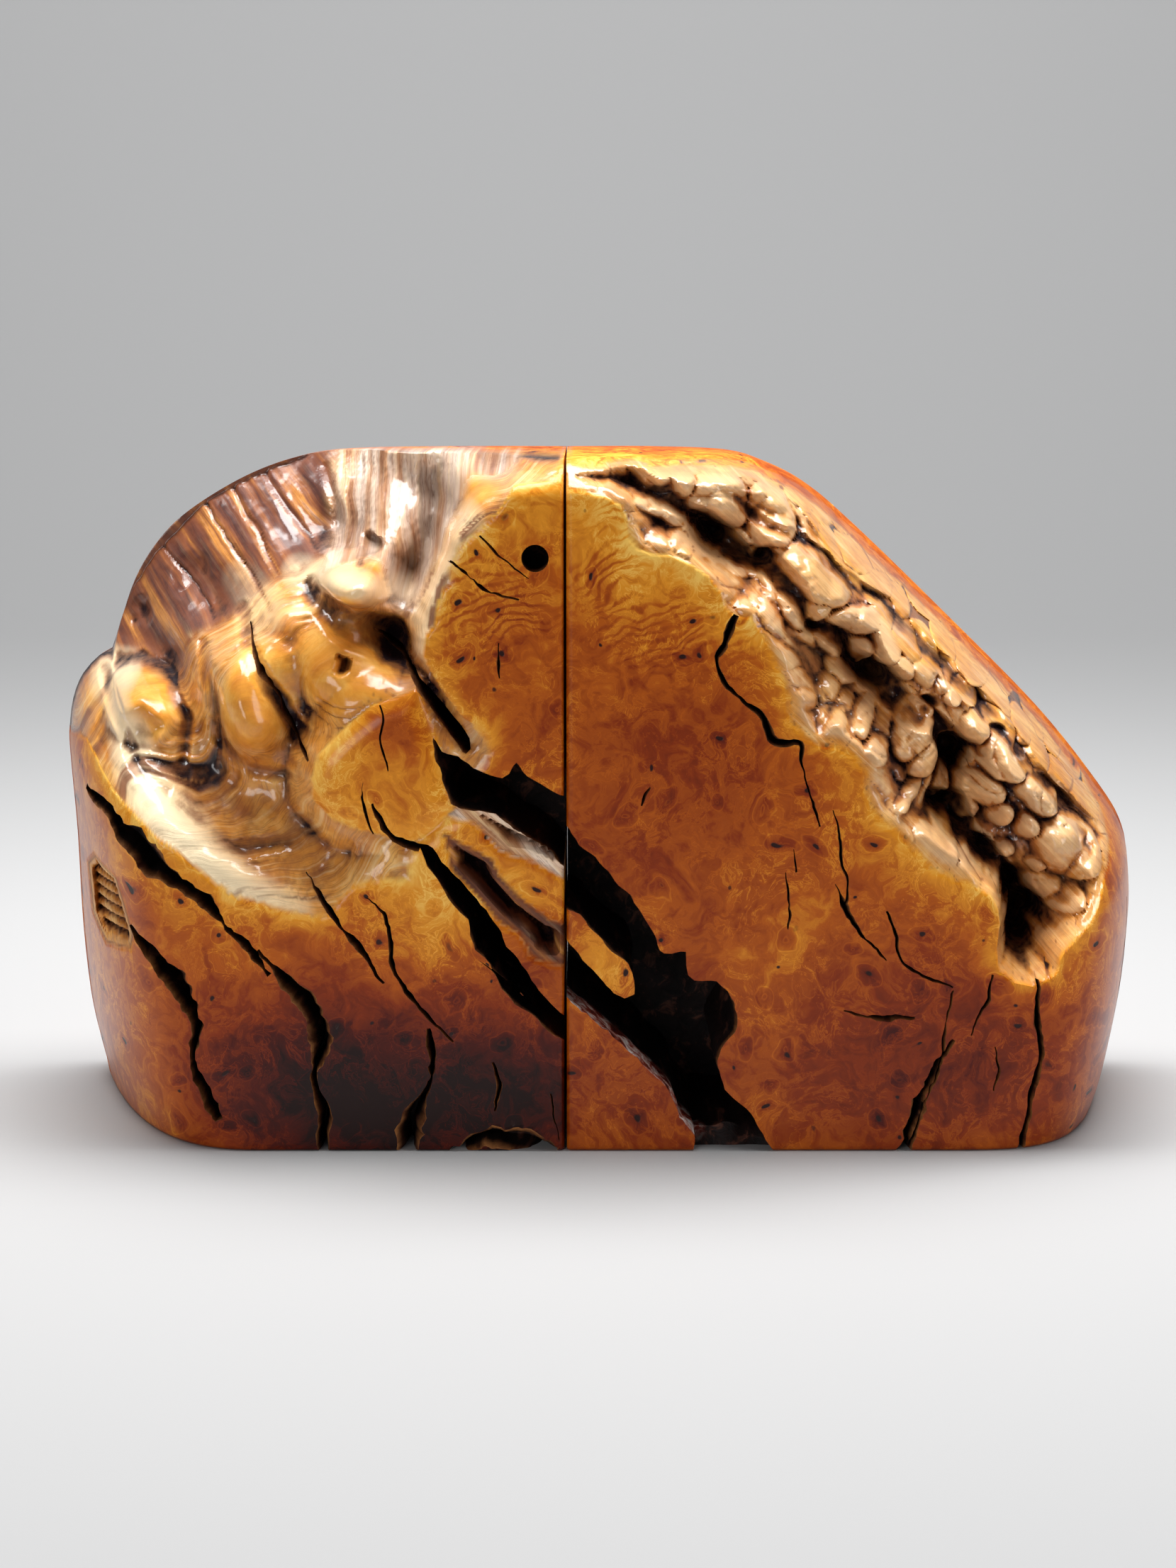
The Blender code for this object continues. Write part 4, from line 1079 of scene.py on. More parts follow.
def hole_cutter(block):
    """The drilled hole in the left half's sanded strip."""
    centre = to_model(HOLE_PLACE[0], 0, HOLE_PLACE[1], block.side)
    deselect()
    bpy.ops.mesh.primitive_cylinder_add(
        vertices=48, radius=HOLE_RADIUS * MM, depth=2 * HOLE_DEPTH * MM,
        location=centre, rotation=(math.pi / 2, 0, 0),
    )
    bpy.ops.object.transform_apply(location=True, rotation=True, scale=True)
    return bpy.context.active_object


# %% [markdown]
# ## Materials
#
# Three finishes make up the burl: sanded wood under clear varnish, natural skin under the
# same varnish, and the raw dark walls of the voids. The first two share one material,
# because they meet along a ragged line that only the mesh knows: a number stored on every
# point, *skin*, says which is which. Effects that more than one finish uses are node
# groups with named inputs and outputs.


# %% Node helpers
class Tree:
    """Short ways to add and join nodes."""

    def __init__(self, tree):
        self.tree = tree

    def add(self, kind, inputs=None, **settings):
        node = self.tree.nodes.new(kind)
        for key, value in settings.items():
            setattr(node, key, value)
        for key, value in (inputs or {}).items():
            self.join(value, node.inputs[key])
        return node

    def join(self, value, socket):
        if isinstance(value, bpy.types.NodeSocket):
            self.tree.links.new(value, socket)
        else:
            socket.default_value = value

    def math(self, operation, *values, clamp=False):
        """One operation on two values or, one after the other, on more."""
        total = values[0]
        for value in values[1:] or (0.0,):
            inputs = {0: total, 1: value}
            node = self.add("ShaderNodeMath", inputs, operation=operation, use_clamp=clamp)
            total = node.outputs[0]
        return total

    def plus(self, *values):
        return self.math("ADD", *values)

    def minus(self, a, b, clamp=False):
        return self.math("SUBTRACT", a, b, clamp=clamp)

    def times(self, *values):
        return self.math("MULTIPLY", *values)

    def most(self, a, b):
        return self.math("MAXIMUM", a, b)

    def vector_math(self, operation, inputs):
        return self.add("ShaderNodeVectorMath", inputs, operation=operation).outputs[0]

    def mix(self, factor, a, b):
        inputs = {"Factor": factor, 6: a, 7: b}
        return self.add("ShaderNodeMix", inputs, data_type="RGBA").outputs[2]

    def ramp(self, factor, stops):
        node = self.add("ShaderNodeValToRGB", {"Fac": factor})
        points = node.color_ramp.elements
        while len(points) < len(stops):
            points.new(0.5)
        for point, (place, colour) in zip(points, stops):
            point.position = place
            point.color = (*colour, 1)
        return node.outputs["Color"]

    def band(self, value, low, high):
        """0 at low and 1 at high, clamped."""
        inputs = {"Value": value, "From Min": low, "From Max": high}
        return self.add("ShaderNodeMapRange", inputs, clamp=True).outputs["Result"]

    def contour(self, value, level, width):
        """Thin lines where a noise passes a level."""
        return self.band(self.math("ABSOLUTE", self.minus(value, level)), width, 0.0)

    def number(self, name):
        return self.add("ShaderNodeAttribute", attribute_name=name).outputs["Fac"]

    def noise(self, vector, scale, detail=4.0, rough=0.55, twist=0.0):
        node = self.add("ShaderNodeTexNoise", {
            "Vector": vector, "Scale": scale, "Detail": detail, "Roughness": rough,
            "Distortion": twist,
        })
        return node.outputs["Fac"]

    def stretched(self, vector, scale, rotation=(0, 0, 0)):
        inputs = {"Vector": vector, "Scale": scale, "Rotation": rotation}
        return self.add("ShaderNodeMapping", inputs).outputs["Vector"]

    def bump(self, shader, height, strength, distance):
        inputs = {"Height": height, "Strength": strength, "Distance": distance}
        self.join(self.add("ShaderNodeBump", inputs).outputs["Normal"], shader.inputs["Normal"])


def new_group(name, inputs, outputs):
    """An empty node group with float or vector sockets."""
    group = bpy.data.node_groups.new(name, "ShaderNodeTree")
    kinds = {"f": "NodeSocketFloat", "v": "NodeSocketVector"}
    for label, kind in inputs:
        group.interface.new_socket(label, in_out="INPUT", socket_type=kinds[kind])
    for label, kind in outputs:
        group.interface.new_socket(label, in_out="OUTPUT", socket_type=kinds[kind])
    tree = Tree(group)
    return group, tree, tree.add("NodeGroupInput"), tree.add("NodeGroupOutput")


def use_group(tree, group, inputs):
    node = tree.add("ShaderNodeGroup")
    node.node_tree = group
    for key, value in inputs.items():
        tree.join(value, node.inputs[key])
    return node


def new_material(name):
    """A material, its node helper, its shader and the piece's own coordinates."""
    material = bpy.data.materials.new(name)
    material.use_nodes = True
    t = Tree(material.node_tree)
    place = t.add("ShaderNodeTexCoord").outputs["Object"]
    return material, t, material.node_tree.nodes["Principled BSDF"], place


# %% [markdown]
# ### Burl figure
#
# Sanded burl shows swirling threads, round eyes where buds were cut through, and a fine
# fiddleback ripple where the grain waves. Coordinates that are pushed about by noise make
# the threads swirl; rings round Voronoi cells, pushed the same way, make the eyes.

# %% Burl figure group
figure, t, given, result = new_group(
    "burl figure",
    [("Vector", "v"), ("Ripple", "f")],
    [("Shade", "f"), ("Threads", "f"), ("Pits", "f"), ("Height", "f")],
)
vector = given.outputs["Vector"]
push = t.add("ShaderNodeTexNoise", {
    "Vector": vector, "Scale": 60.0, "Detail": 3.0, "Roughness": 0.5,
})
centred = t.vector_math("SUBTRACT", {0: push.outputs["Color"], 1: (0.5, 0.5, 0.5)})
scaled = t.vector_math("SCALE", {0: centred, "Scale": 0.014})
swirl = t.vector_math("ADD", {0: vector, 1: scaled})
broad = t.noise(swirl, 42.0, 3.0, 0.5, 0.6)
fine = t.noise(swirl, 170.0, 5.0, 0.62, 1.2)
wisps = t.noise(swirl, 105.0, 4.0, 0.6, 2.2)

patches = t.band(t.noise(swirl, 75.0, 2.0), 0.42, 0.62)
thread_lines = t.most(t.contour(wisps, 0.5, 0.016), t.contour(fine, 0.53, 0.022))
thread_lines = t.times(thread_lines, t.plus(0.25, t.times(patches, 0.75)))

# Eyes and specks are flat cells seen face-on, so that they don't stretch into the depth.
apart = t.add("ShaderNodeSeparateXYZ", {"Vector": swirl}).outputs
face_on = t.add("ShaderNodeCombineXYZ", {"X": apart["X"], "Y": apart["Z"]}).outputs["Vector"]


def spots(scale):
    """Distance to the nearest of many scattered spots, and that spot's own number."""
    inputs = {"Vector": face_on, "Scale": scale, "Randomness": 1.0}
    cells = t.add("ShaderNodeTexVoronoi", inputs, voronoi_dimensions="2D").outputs
    return cells["Distance"], cells["Color"]


eye_away, eye_number = spots(100.0)
kept_eye = t.band(eye_number, 0.46, 0.50)
rings = t.band(t.math("SINE", t.times(eye_away, 34.0)), 0.72, 1.0)
ring_lines = t.times(rings, t.band(eye_away, 0.50, 0.2), kept_eye)
eye_heart = t.times(t.band(eye_away, 0.26, 0.05), kept_eye)
eye_pits = t.times(t.band(eye_away, 0.075, 0.05), t.band(eye_number, 0.62, 0.66))
speck_away, speck_number = spots(250.0)
specks = t.times(t.band(speck_away, 0.15, 0.08), t.band(speck_number, 0.86, 0.88))

waves = t.add("ShaderNodeTexWave", {
    "Vector": t.stretched(swirl, (1.0, 1.0, 1.0), (0, math.radians(25), 0)),
    "Scale": 150.0, "Distortion": 9.0, "Detail": 3.0, "Detail Scale": 0.9,
}, bands_direction="Z")
patchy = t.band(t.noise(swirl, 60.0, 2.0), 0.40, 0.56)
ripple = t.times(t.band(waves.outputs["Fac"], 0.5, 0.95), given.outputs["Ripple"], patchy)

shade = t.plus(t.times(t.minus(broad, 0.5), 0.38), t.times(t.minus(fine, 0.5), 0.55))
shade = t.minus(t.minus(shade, t.times(ripple, 0.16)), t.times(eye_heart, 0.16))
height = t.minus(t.times(fine, 0.25), t.times(ripple, 0.3))
for label, value in (
    ("Shade", shade), ("Threads", t.most(thread_lines, t.times(ring_lines, 0.7))),
    ("Pits", t.most(eye_pits, specks)), ("Height", t.minus(height, t.times(eye_pits, 1.2))),
):
    t.join(value, result.inputs[label])
print("burl figure:", len(figure.nodes), "nodes")

# %% [markdown]
# ### Dirt and painted shade in the creases, painted highlight on the crests
#
# Weathered wood keeps dark bark and dirt where a finger can't reach. Here the same darkening
# also serves as painted shade in the creases, and the pale wear on the crests is partly a
# painted highlight. The mesh stores how sunk each point is against its neighbourhood. The
# group breaks that number up with noise, so that the dark doesn't follow it like a contour.

# %% Crease group
crease, t, given, result = new_group(
    "creases", [("Vector", "v"), ("Sunk", "f")], [("Dark", "f"), ("Stain and shade", "f"), ("Worn and highlight", "f")],
)
grit = t.noise(given.outputs["Vector"], 420.0, 4.0, 0.6)
drift = t.noise(given.outputs["Vector"], 60.0, 3.0, 0.5)
unrest = t.plus(t.times(t.minus(grit, 0.5), 0.35), t.times(t.minus(drift, 0.5), 0.35))
broken = t.plus(given.outputs["Sunk"], unrest)
# The dark bands darken the creases with dirt and painted shade; the worn band pales the crests with
# wear and a painted highlight.
for label, low, high in (("Dark", 0.76, 1.02), ("Stain and shade", 0.45, 0.76), ("Worn and highlight", 0.44, 0.20)):
    t.join(t.band(broken, low, high), result.inputs[label])
print("creases:", len(crease.nodes), "nodes")

# %% [markdown]
# ### The burl material
#
# Sanded wood runs from nearly black-red heart to golden sapwood beside the skin, and it darkens
# towards the foot partly as painted shade. The skin is paler: cream where it is worn and, as a
# painted highlight, on its crests, orange-brown on the flanks, and purple-black in the creases
# from dark bark and painted shade.
# The streaked sheet and the torn fibres have colours of their own, drawn out along the
# grain. One clear coat lies over all of it, thickest on the skin's lumps, where it gives
# the wet shine, and missing where the wood is torn.

# %% Burl material
SANDED_STOPS = [
    (0.0, (0.012, 0.001, 0.0005)), (0.2, (0.08, 0.005, 0.0005)), (0.4, (0.25, 0.030, 0.001)),
    (0.6, (0.48, 0.100, 0.004)), (0.8, (0.80, 0.30, 0.018)), (1.0, (0.97, 0.58, 0.12)),
]
PIT = (0.02, 0.004, 0.003, 1)
SKIN_STOPS = [
    (0.3, (0.32, 0.10, 0.03)), (0.5, (0.52, 0.21, 0.07)), (0.7, (0.74, 0.40, 0.17)),
]
WORN_AND_HIGHLIGHT_COLOUR = (0.92, 0.67, 0.38, 1)
BLEACHED_AND_HIGHLIGHT_COLOUR = (1.0, 0.86, 0.58, 1)
AMBER_STOPS = [
    (0.3, (0.60, 0.19, 0.016)), (0.5, (0.77, 0.31, 0.032)), (0.7, (0.93, 0.49, 0.10)),
]
TORN_FIBRE_STOPS = [
    (0.3, (0.30, 0.10, 0.045)), (0.42, (0.64, 0.34, 0.17)), (0.56, (0.92, 0.72, 0.56)),
]
CREASE_DIRT_AND_SHADE_COLOUR = (0.014, 0.005, 0.007, 1)
STAIN_AND_SHADE_COLOUR = (0.22, 0.065, 0.026, 1)
SHEET_STOPS = [
    (0.30, (0.045, 0.014, 0.012)), (0.46, (0.13, 0.045, 0.030)), (0.56, (0.30, 0.10, 0.035)),
    (0.66, (0.66, 0.27, 0.055)), (0.80, (0.62, 0.44, 0.36)),
]
FIBRE_PALE = (0.95, 0.72, 0.38, 1)
FIBRE_DARK = (0.20, 0.055, 0.02, 1)


def burl_wood(name):
    """Sanded burl and natural skin in one varnished material."""
    material, t, shader, place = new_material(name)
    skin, sheet, fibre, amber = map(t.number, ("skin", "sheet", "fibre", "amber"))

    wood = use_group(t, figure, {"Vector": place, "Ripple": t.number("ripple")}).outputs
    tone = t.plus(t.number("tone"), wood["Shade"], t.times(wood["Threads"], 0.16))
    sanded = t.mix(wood["Pits"], t.ramp(tone, SANDED_STOPS), PIT)

    grain = t.add("ShaderNodeCombineXYZ", {"X": t.number("across"), "Y": t.number("along")})
    long_grain = t.stretched(grain.outputs["Vector"], (1.0, 0.07, 1.0))
    fibres = t.noise(long_grain, 0.75, 5.0, 0.62, 0.3)
    streaks = t.noise(long_grain, 0.34, 4.0, 0.55, 0.2)
    mottle = t.noise(place, 110.0, 5.0, 0.6, 0.4)
    lively = t.minus(1.0, t.times(t.number("calm"), 0.85))
    unstreaked = t.minus(1.0, t.times(sheet, 0.85))
    unfibred = t.minus(1.0, t.times(fibre, 0.6))
    # Creases get dirt and painted shade, crests get wear and a painted highlight.
    dirt_and_shade = use_group(t, crease, {"Vector": place, "Sunk": t.number("sunk")}).outputs
    line = t.band(t.number("crease"), 0.35, 0.95)
    # Crests paled with wear, and partly as a painted highlight.
    worn = t.times(dirt_and_shade["Worn and highlight"], t.minus(0.6, t.times(t.most(amber, sheet), 0.58)))
    stain_and_shade = t.most(t.times(dirt_and_shade["Stain and shade"], 0.8), line)
    dark = t.most(dirt_and_shade["Dark"], t.times(line, dirt_and_shade["Stain and shade"]))
    natural = t.ramp(mottle, SKIN_STOPS)
    for share, colour in (
        (amber, t.ramp(mottle, AMBER_STOPS)),
        (sheet, t.ramp(streaks, SHEET_STOPS)),
        (fibre, t.ramp(streaks, TORN_FIBRE_STOPS)),
        (t.times(t.band(fibres, 0.54, 0.66), lively, unstreaked, 0.45), FIBRE_PALE),
        (t.times(t.contour(fibres, 0.47, 0.035), lively, 0.45), FIBRE_DARK),
        (worn, WORN_AND_HIGHLIGHT_COLOUR),
        # Bleached wear, with a painted highlight on the shoulder and the domes.
        (t.times(t.number("bleached_and_highlight"), 0.85), BLEACHED_AND_HIGHLIGHT_COLOUR),
        # Stain and crease colours darken the hollows with dirt and bark, and with painted shade.
        (t.times(stain_and_shade, 0.85, unfibred), STAIN_AND_SHADE_COLOUR),
        (t.times(dark, unfibred), CREASE_DIRT_AND_SHADE_COLOUR),
    ):
        natural = t.mix(share, natural, colour)

    t.join(t.mix(skin, sanded, natural), shader.inputs["Base Color"])
    rough = t.plus(0.34, t.times(skin, 0.1), t.times(dirt_and_shade["Dark"], 0.3))
    t.join(rough, shader.inputs["Roughness"])
    dull = t.most(t.times(dirt_and_shade["Dark"], 0.5), t.number("torn"))
    coat = t.minus(t.plus(0.28, t.times(skin, 0.65)), dull, clamp=True)
    t.join(coat, shader.inputs["Coat Weight"])
    shader.inputs["Coat Roughness"].default_value = 0.15
    shader.inputs["Coat IOR"].default_value = 1.48
    shader.inputs["Specular IOR Level"].default_value = 0.1
    fine = t.times(t.noise(place, 500.0, 3.0, 0.6), 0.8)
    relief = t.plus(fine, t.times(fibres, lively, unstreaked, 7.0))
    height = t.plus(t.times(wood["Height"], t.minus(1.0, skin)), t.times(relief, skin))
    t.bump(shader, height, 0.3, 0.0003)
    return material


# %% [markdown]
# ### The void walls
#
# Inside the voids and cracks the wood was never varnished. It is nearly black deeper in, with old
# bark and dirt and with painted shade, browner close to the front, and white and red with fresh
# splinters along the one torn lip under the great void.

# %% Void material
WALL_DIRT_AND_SHADE_STOPS = [
    (0.35, (0.003, 0.0015, 0.0015)), (0.55, (0.014, 0.006, 0.005)), (0.68, (0.14, 0.05, 0.03)),
]
FRESH_STOPS = [(0.35, (0.10, 0.025, 0.012)), (0.65, (0.42, 0.17, 0.05))]
LIP_STOPS = [
    (0.36, (0.03, 0.004, 0.004)), (0.47, (0.32, 0.03, 0.01)), (0.56, (0.62, 0.42, 0.36)),
    (0.66, (0.92, 0.84, 0.80)),
]


def void_wood(name):
    """Raw dark walls inside the voids and cracks."""
    material, t, shader, place = new_material(name)
    torn = t.noise(t.stretched(place, (1.0, 0.25, 1.0)), 260.0, 5.0, 0.65, 0.6)
    slanted = t.stretched(place, (1.0, 1.0, 1.0), (0, math.radians(-45), 0))
    splinters = t.noise(slanted, 300.0, 5.0, 0.65, 0.8)
    # Deeper walls turn nearly black: old bark and dirt, and painted shade.
    walls = t.mix(t.number("buried"), t.ramp(torn, FRESH_STOPS), t.ramp(torn, WALL_DIRT_AND_SHADE_STOPS))
    at_lip = t.band(t.number("lip"), 0.05, 0.5)
    t.join(t.mix(at_lip, walls, t.ramp(splinters, LIP_STOPS)), shader.inputs["Base Color"])
    shader.inputs["Roughness"].default_value = 0.6
    shader.inputs["Specular IOR Level"].default_value = 0.2
    t.bump(shader, torn, 0.6, 0.0008)
    return material


# %% [markdown]
# ## Build the halves
#
# The sheet is wrapped, closed and cut. The Boolean hands the cutter's material to the walls
# that it leaves, which is how the void walls get their own finish. Only then are the numbers
# for the materials stored, because the cut adds points: where the skin is and how sunken,
# which way its grain runs, how worn and bleached it is (partly a painted highlight), how
# dark it is (partly painted shade), how torn, and how deep a wall lies.

# %% Numbers on the mesh
SAMPLE_STEP = 0.5
# Distance over which the depth is averaged, and what a millimetre below that counts.
NEAR_BLUR, NEAR_COUNTS = 1.6, 0.55
WIDE_BLUR, WIDE_COUNTS = 6.0, 0.16


def blurred(values, reach):
    """Values on a raster, averaged over about the given distance."""
    count = max(1, int(round((reach / SAMPLE_STEP) ** 2 / 2)))
    for _ in range(count):
        padded = np.pad(values, 1, mode="edge")
        values = (padded[:-2, 1:-1] + padded[2:, 1:-1] + padded[1:-1, :-2] + padded[1:-1, 2:]
                  + values) / 5
    return values


class Sunkenness:
    """How far each place lies below its surroundings, from 0 on crests to 1 in creases."""

    def __init__(self, side):
        self.xs = np.arange(-3, 138, SAMPLE_STEP)
        self.zs = np.arange(-3, 154, SAMPLE_STEP)
        out, up = np.meshgrid(np.maximum(self.xs, 0.01), np.maximum(self.zs, 0.01), indexing="ij")
        deep = front(out, up, side)
        near = NEAR_COUNTS * (deep - blurred(deep, NEAR_BLUR))
        wide = WIDE_COUNTS * (deep - blurred(deep, WIDE_BLUR))
        self.values = np.clip(0.5 + near + wide, 0, 1)

    def __call__(self, out, up):
        column = np.clip((out - self.xs[0]) / SAMPLE_STEP, 0, len(self.xs) - 1.001)
        row = np.clip((up - self.zs[0]) / SAMPLE_STEP, 0, len(self.zs) - 1.001)
        i, j = column.astype(int), row.astype(int)
        a, b = column - i, row - j
        v = self.values
        low = v[i, j] * (1 - a) + v[i + 1, j] * a
        high = v[i, j + 1] * (1 - a) + v[i + 1, j + 1] * a
        return low * (1 - b) + high * b


# Heartwood as soft patches, which also darken the wood towards the foot, partly as painted
# shade of the light from above: (out, up, half width, half height, darkness).
LEFT_HEARTWOOD_AND_SHADE = [
    (20, 10, 38, 30, 0.58), (56, 12, 26, 22, 0.36), (8, 92, 24, 15, 0.13),
    (36, 92, 8, 8, 0.16), (42, 80, 10, 10, -0.06), (78, 20, 12, 20, 0.05), (16, 118, 8, 8, 0.04),
    (9, 58, 18, 9, -0.16), (30, 50, 13, 14, -0.18), (5, 32, 8, 6, -0.12),
    (91, 52.5, 4.5, 6, 0.2),
]
RIGHT_HEARTWOOD_AND_SHADE = [
    (22, 82, 34, 28, 0.08), (78, 20, 34, 24, 0.28), (14, 14, 14, 14, 0.16),
    (18, 134, 28, 18, -0.22), (50, 46, 22, 22, -0.05), (7, 45, 9, 9, -0.2),
]
LEFT_TONE, RIGHT_TONE, BACK_TONE = 0.63, 0.55, 0.56
SAPWOOD_WIDTH = 4.0
SAPWOOD_TONE = 0.26
# Depths between which the sapwood gets less and the tone becomes the back's.
SAPWOOD_FADE, SAPWOOD_LOSS = (6, 30), 0.45
TONE_FADE = (14, 66)
# A void's walls are browner down to this depth, and much deeper at the top of the ravine;
# below it they turn nearly black, partly as painted shade.
BROWN_DEPTH, RAVINE_DEPTH = 2.5, 10
RAVINE_HEIGHTS = (84, 92)
LIP_FADE = (5, 13)
# Where the skin was bleached and polished by wear, and is painted pale as a highlight on its
# lit ridges: (out, up, half width, strength).
BLEACHED_AND_HIGHLIGHT = [
    [(101, 96, 5, 0.6), (97, 90, 6, 0.9), (93, 82, 6, 1), (86, 73, 6.5, 1), (78, 64, 6.5, 1),
     (69, 57, 6, 0.9), (58, 53, 4.5, 0.6)],
    [(106, 99, 6, 0.7), (100, 100, 5, 0.7)],
    [(60, 124, 4, 0.5), (53.5, 123.5, 4, 0.8), (46, 124, 3.5, 0.7), (38, 121, 4, 0.6),
     (31, 117, 4, 0.6)],
    [(74, 121, 5, 0.3), (67, 116, 7, 0.35)],
    [(20, 138, 4, 0.5), (27, 122, 4, 0.7), (30, 110, 3, 0.5)],
]
TORN_LIP = [(-1, 40, 4.5, 1), (5, 30.5, 4.5, 1), (14, 22.5, 4.5, 1), (23, 13, 4, 1), (28, 5, 3, 0.6)]


def heartwood_and_shade(out, up, zones):
    """How much darker the wood is than its base tone, from heartwood and from painted shade towards
    the foot.
    """
    return sum(
        dark * np.exp(-((out - x) / wide) ** 2 - ((up - z) / high) ** 2)
        for x, z, wide, high, dark in zones
    )


def left_numbers(out, up):
    """Grain, zones and wear of the left half's skin."""
    weights, across, along = (np.array(part) for part in zip(*left_grain(out, up)))
    main = weights.argmax(axis=0)[None]
    across, along = (np.take_along_axis(part, main, axis=0)[0] for part in (across, along))
    torn = step_up(torn_patch(out, up), -0.6, 0.4)
    calm = step_up(swells(out, up, LEFT_SWELLS), 1.0, 3.5) * (1 - torn)
    return {
        "across": np.where(torn > 0.5, (out - up) * SLANT, across),
        "along": np.where(torn > 0.5, (out + up) * SLANT, along),
        "fibre": np.maximum(fibre_zone(out, up), inside_distance(out, up, TORN_SLOPE) > 0),
        "sheet": np.maximum(sheet_zone(out, up), inside_distance(out, up, RECESS) > 0),
        "bleached_and_highlight": grooves(out, up, BLEACHED_AND_HIGHLIGHT),
        "torn": torn, "calm": calm, "amber": 0.7 + 0.3 * calm, "lip": 0 * out,
    }


def right_numbers(out, up, sanded, clear):
    """Grain and colour of the right half's skin, and its torn lip."""
    amber = 0.35 + 0.5 * worn_rim(out, up, sanded) + 0.35 * cloud(out, up, 14, 79)
    amber = np.clip(np.maximum(amber, 0.7 * (1 - step_up(clear, 1.5, 5))), 0, 1)
    nowhere = 0 * out
    return {
        "across": (out + up) * SLANT, "along": (out - up) * SLANT,
        "fibre": nowhere, "sheet": nowhere, "bleached_and_highlight": nowhere, "torn": nowhere,
        "calm": nowhere + 0.35, "amber": amber, "lip": grooves(out, up, [TORN_LIP]),
    }


def store_numbers(obj, block):
    """The masks that the materials read, worked out for every point of the finished mesh."""
    points = points_of(obj) / MM
    deep = points[:, 1] - FRONT_Y
    out = np.maximum(np.abs(points[:, 0] - SEAM_X) - half_gap(deep), 0.01)
    up = np.maximum(points[:, 2], 0.01)
    level, near_crease = shaped_front(out, up, block.side)
    sanded, clear = block.envelope(out, up), uncut(out, up, block.side)
    on_front = (deep < level + 1.0).astype(float)
    if block.side == LEFT:
        numbers = left_numbers(out, up)
        base, zones = LEFT_TONE, LEFT_HEARTWOOD_AND_SHADE
        brown_walls = BROWN_DEPTH + RAVINE_DEPTH * step_up(up, *RAVINE_HEIGHTS)
    else:
        numbers = right_numbers(out, up, sanded, clear)
        base, zones, brown_walls = RIGHT_TONE, RIGHT_HEARTWOOD_AND_SHADE, BROWN_DEPTH
    ragged = uncut(out, up, block.side, patches=False) + 2.5 * cloud(out, up, 7, 71)
    sapwood = np.exp(-np.clip(-ragged, 0, 60) / SAPWOOD_WIDTH) * on_front
    sapwood = sapwood * (1 - SAPWOOD_LOSS * step_up(deep, *SAPWOOD_FADE))
    tone = base + SAPWOOD_TONE * sapwood - heartwood_and_shade(out, up, zones)
    numbers.update({
        "skin": step_up(clear, 0.0, 0.5) * step_up(level - sanded, 0.15, 0.6) * on_front,
        "sunk": Sunkenness(block.side)(out, up),
        "crease": near_crease,
        "lip": numbers["lip"] * (1 - step_up(deep - level, *LIP_FADE)),
        "tone": tone + step_up(deep, *TONE_FADE) * (BACK_TONE - tone),
        "buried": step_up(deep - level, 0.2, brown_walls),
        "ripple": step_up(up, 96, 118) * (1 - step_up(out, 30, 48)),
    })
    for name, values in numbers.items():
        layer = obj.data.attributes.new(name, "FLOAT", "POINT")
        layer.data.foreach_set("value", np.asarray(values, np.float32))
    print(f"{obj.name}: {len(numbers)} numbers on {len(points)} points")


# %% Build one half
SHARP_ANGLE = math.radians(58)


def joined_cutters(name, block, voids, cracks, extra):
    """All cutters of a half; cracks and voids stay separate solids in one collection."""
    group = bpy.data.collections.new(name)
    bpy.context.scene.collection.children.link(group)
    made = [
        void_cutter(key, block, floor, corners, 200 + 13 * k)
        for k, (key, (floor, corners)) in enumerate(voids.items())
    ]
    made += [
        crack_cutter(key, block, width, depth, run, 300 + 17 * k)
        for k, (key, (width, depth, run)) in enumerate(cracks.items())
    ]
    made += extra
    for cutter in made:
        for home in list(cutter.users_collection):
            home.objects.unlink(cutter)
        group.objects.link(cutter)
        cutter.data.materials.append(VOID)
    return group


def finished_half(name, block, voids, cracks, extra):
    """One half, wrapped, closed, cut, shaded and ready for its materials."""
    half = wrapped_sheet(name, block)
    extruded_rim(half, block)
    half.data.materials.append(WOOD)
    cutters = joined_cutters(f"{name}_cutters", block, voids, cracks, extra)
    cut = half.modifiers.new("cut", "BOOLEAN")
    cut.operation = "DIFFERENCE"
    cut.operand_type = "COLLECTION"
    cut.collection = cutters
    cut.solver = "MANIFOLD"
    cut.material_mode = "TRANSFER"
    deselect()
    half.select_set(True)
    bpy.context.view_layer.objects.active = half
    bpy.ops.object.modifier_apply(modifier=cut.name)
    for cutter in list(cutters.objects):
        bpy.data.objects.remove(cutter, do_unlink=True)
    bpy.data.collections.remove(cutters)
    bpy.ops.object.mode_set(mode="EDIT")
    bpy.ops.mesh.select_all(action="SELECT")
    bpy.ops.mesh.quads_convert_to_tris(quad_method="BEAUTY", ngon_method="BEAUTY")
    bpy.ops.object.mode_set(mode="OBJECT")
    bpy.ops.object.shade_smooth_by_angle(angle=SHARP_ANGLE)
    store_numbers(half, block)
    print(f"{name}: {len(half.data.polygons)} triangles")
    return half


WOOD = burl_wood("varnished burl")
VOID = void_wood("void wall")
left_piece = finished_half(
    "left_burl", left_block, LEFT_VOIDS, LEFT_CRACKS, [hole_cutter(left_block)]
)
right_piece = finished_half("right_burl", right_block, RIGHT_VOIDS, RIGHT_CRACKS, [])

for piece, node, slot in (
    (left_piece, "left_half", "left_wood"), (right_piece, "right_half", "right_wood"),
):
    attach(piece, "root")
    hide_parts(node)

# %% [markdown]
# ## Studio
#
# A plain pale floor that sweeps up behind, a large soft light above and slightly behind
# the block, which gives the varnish its bright upper edges, two weak fills in front of it
# and one light for the backdrop alone.

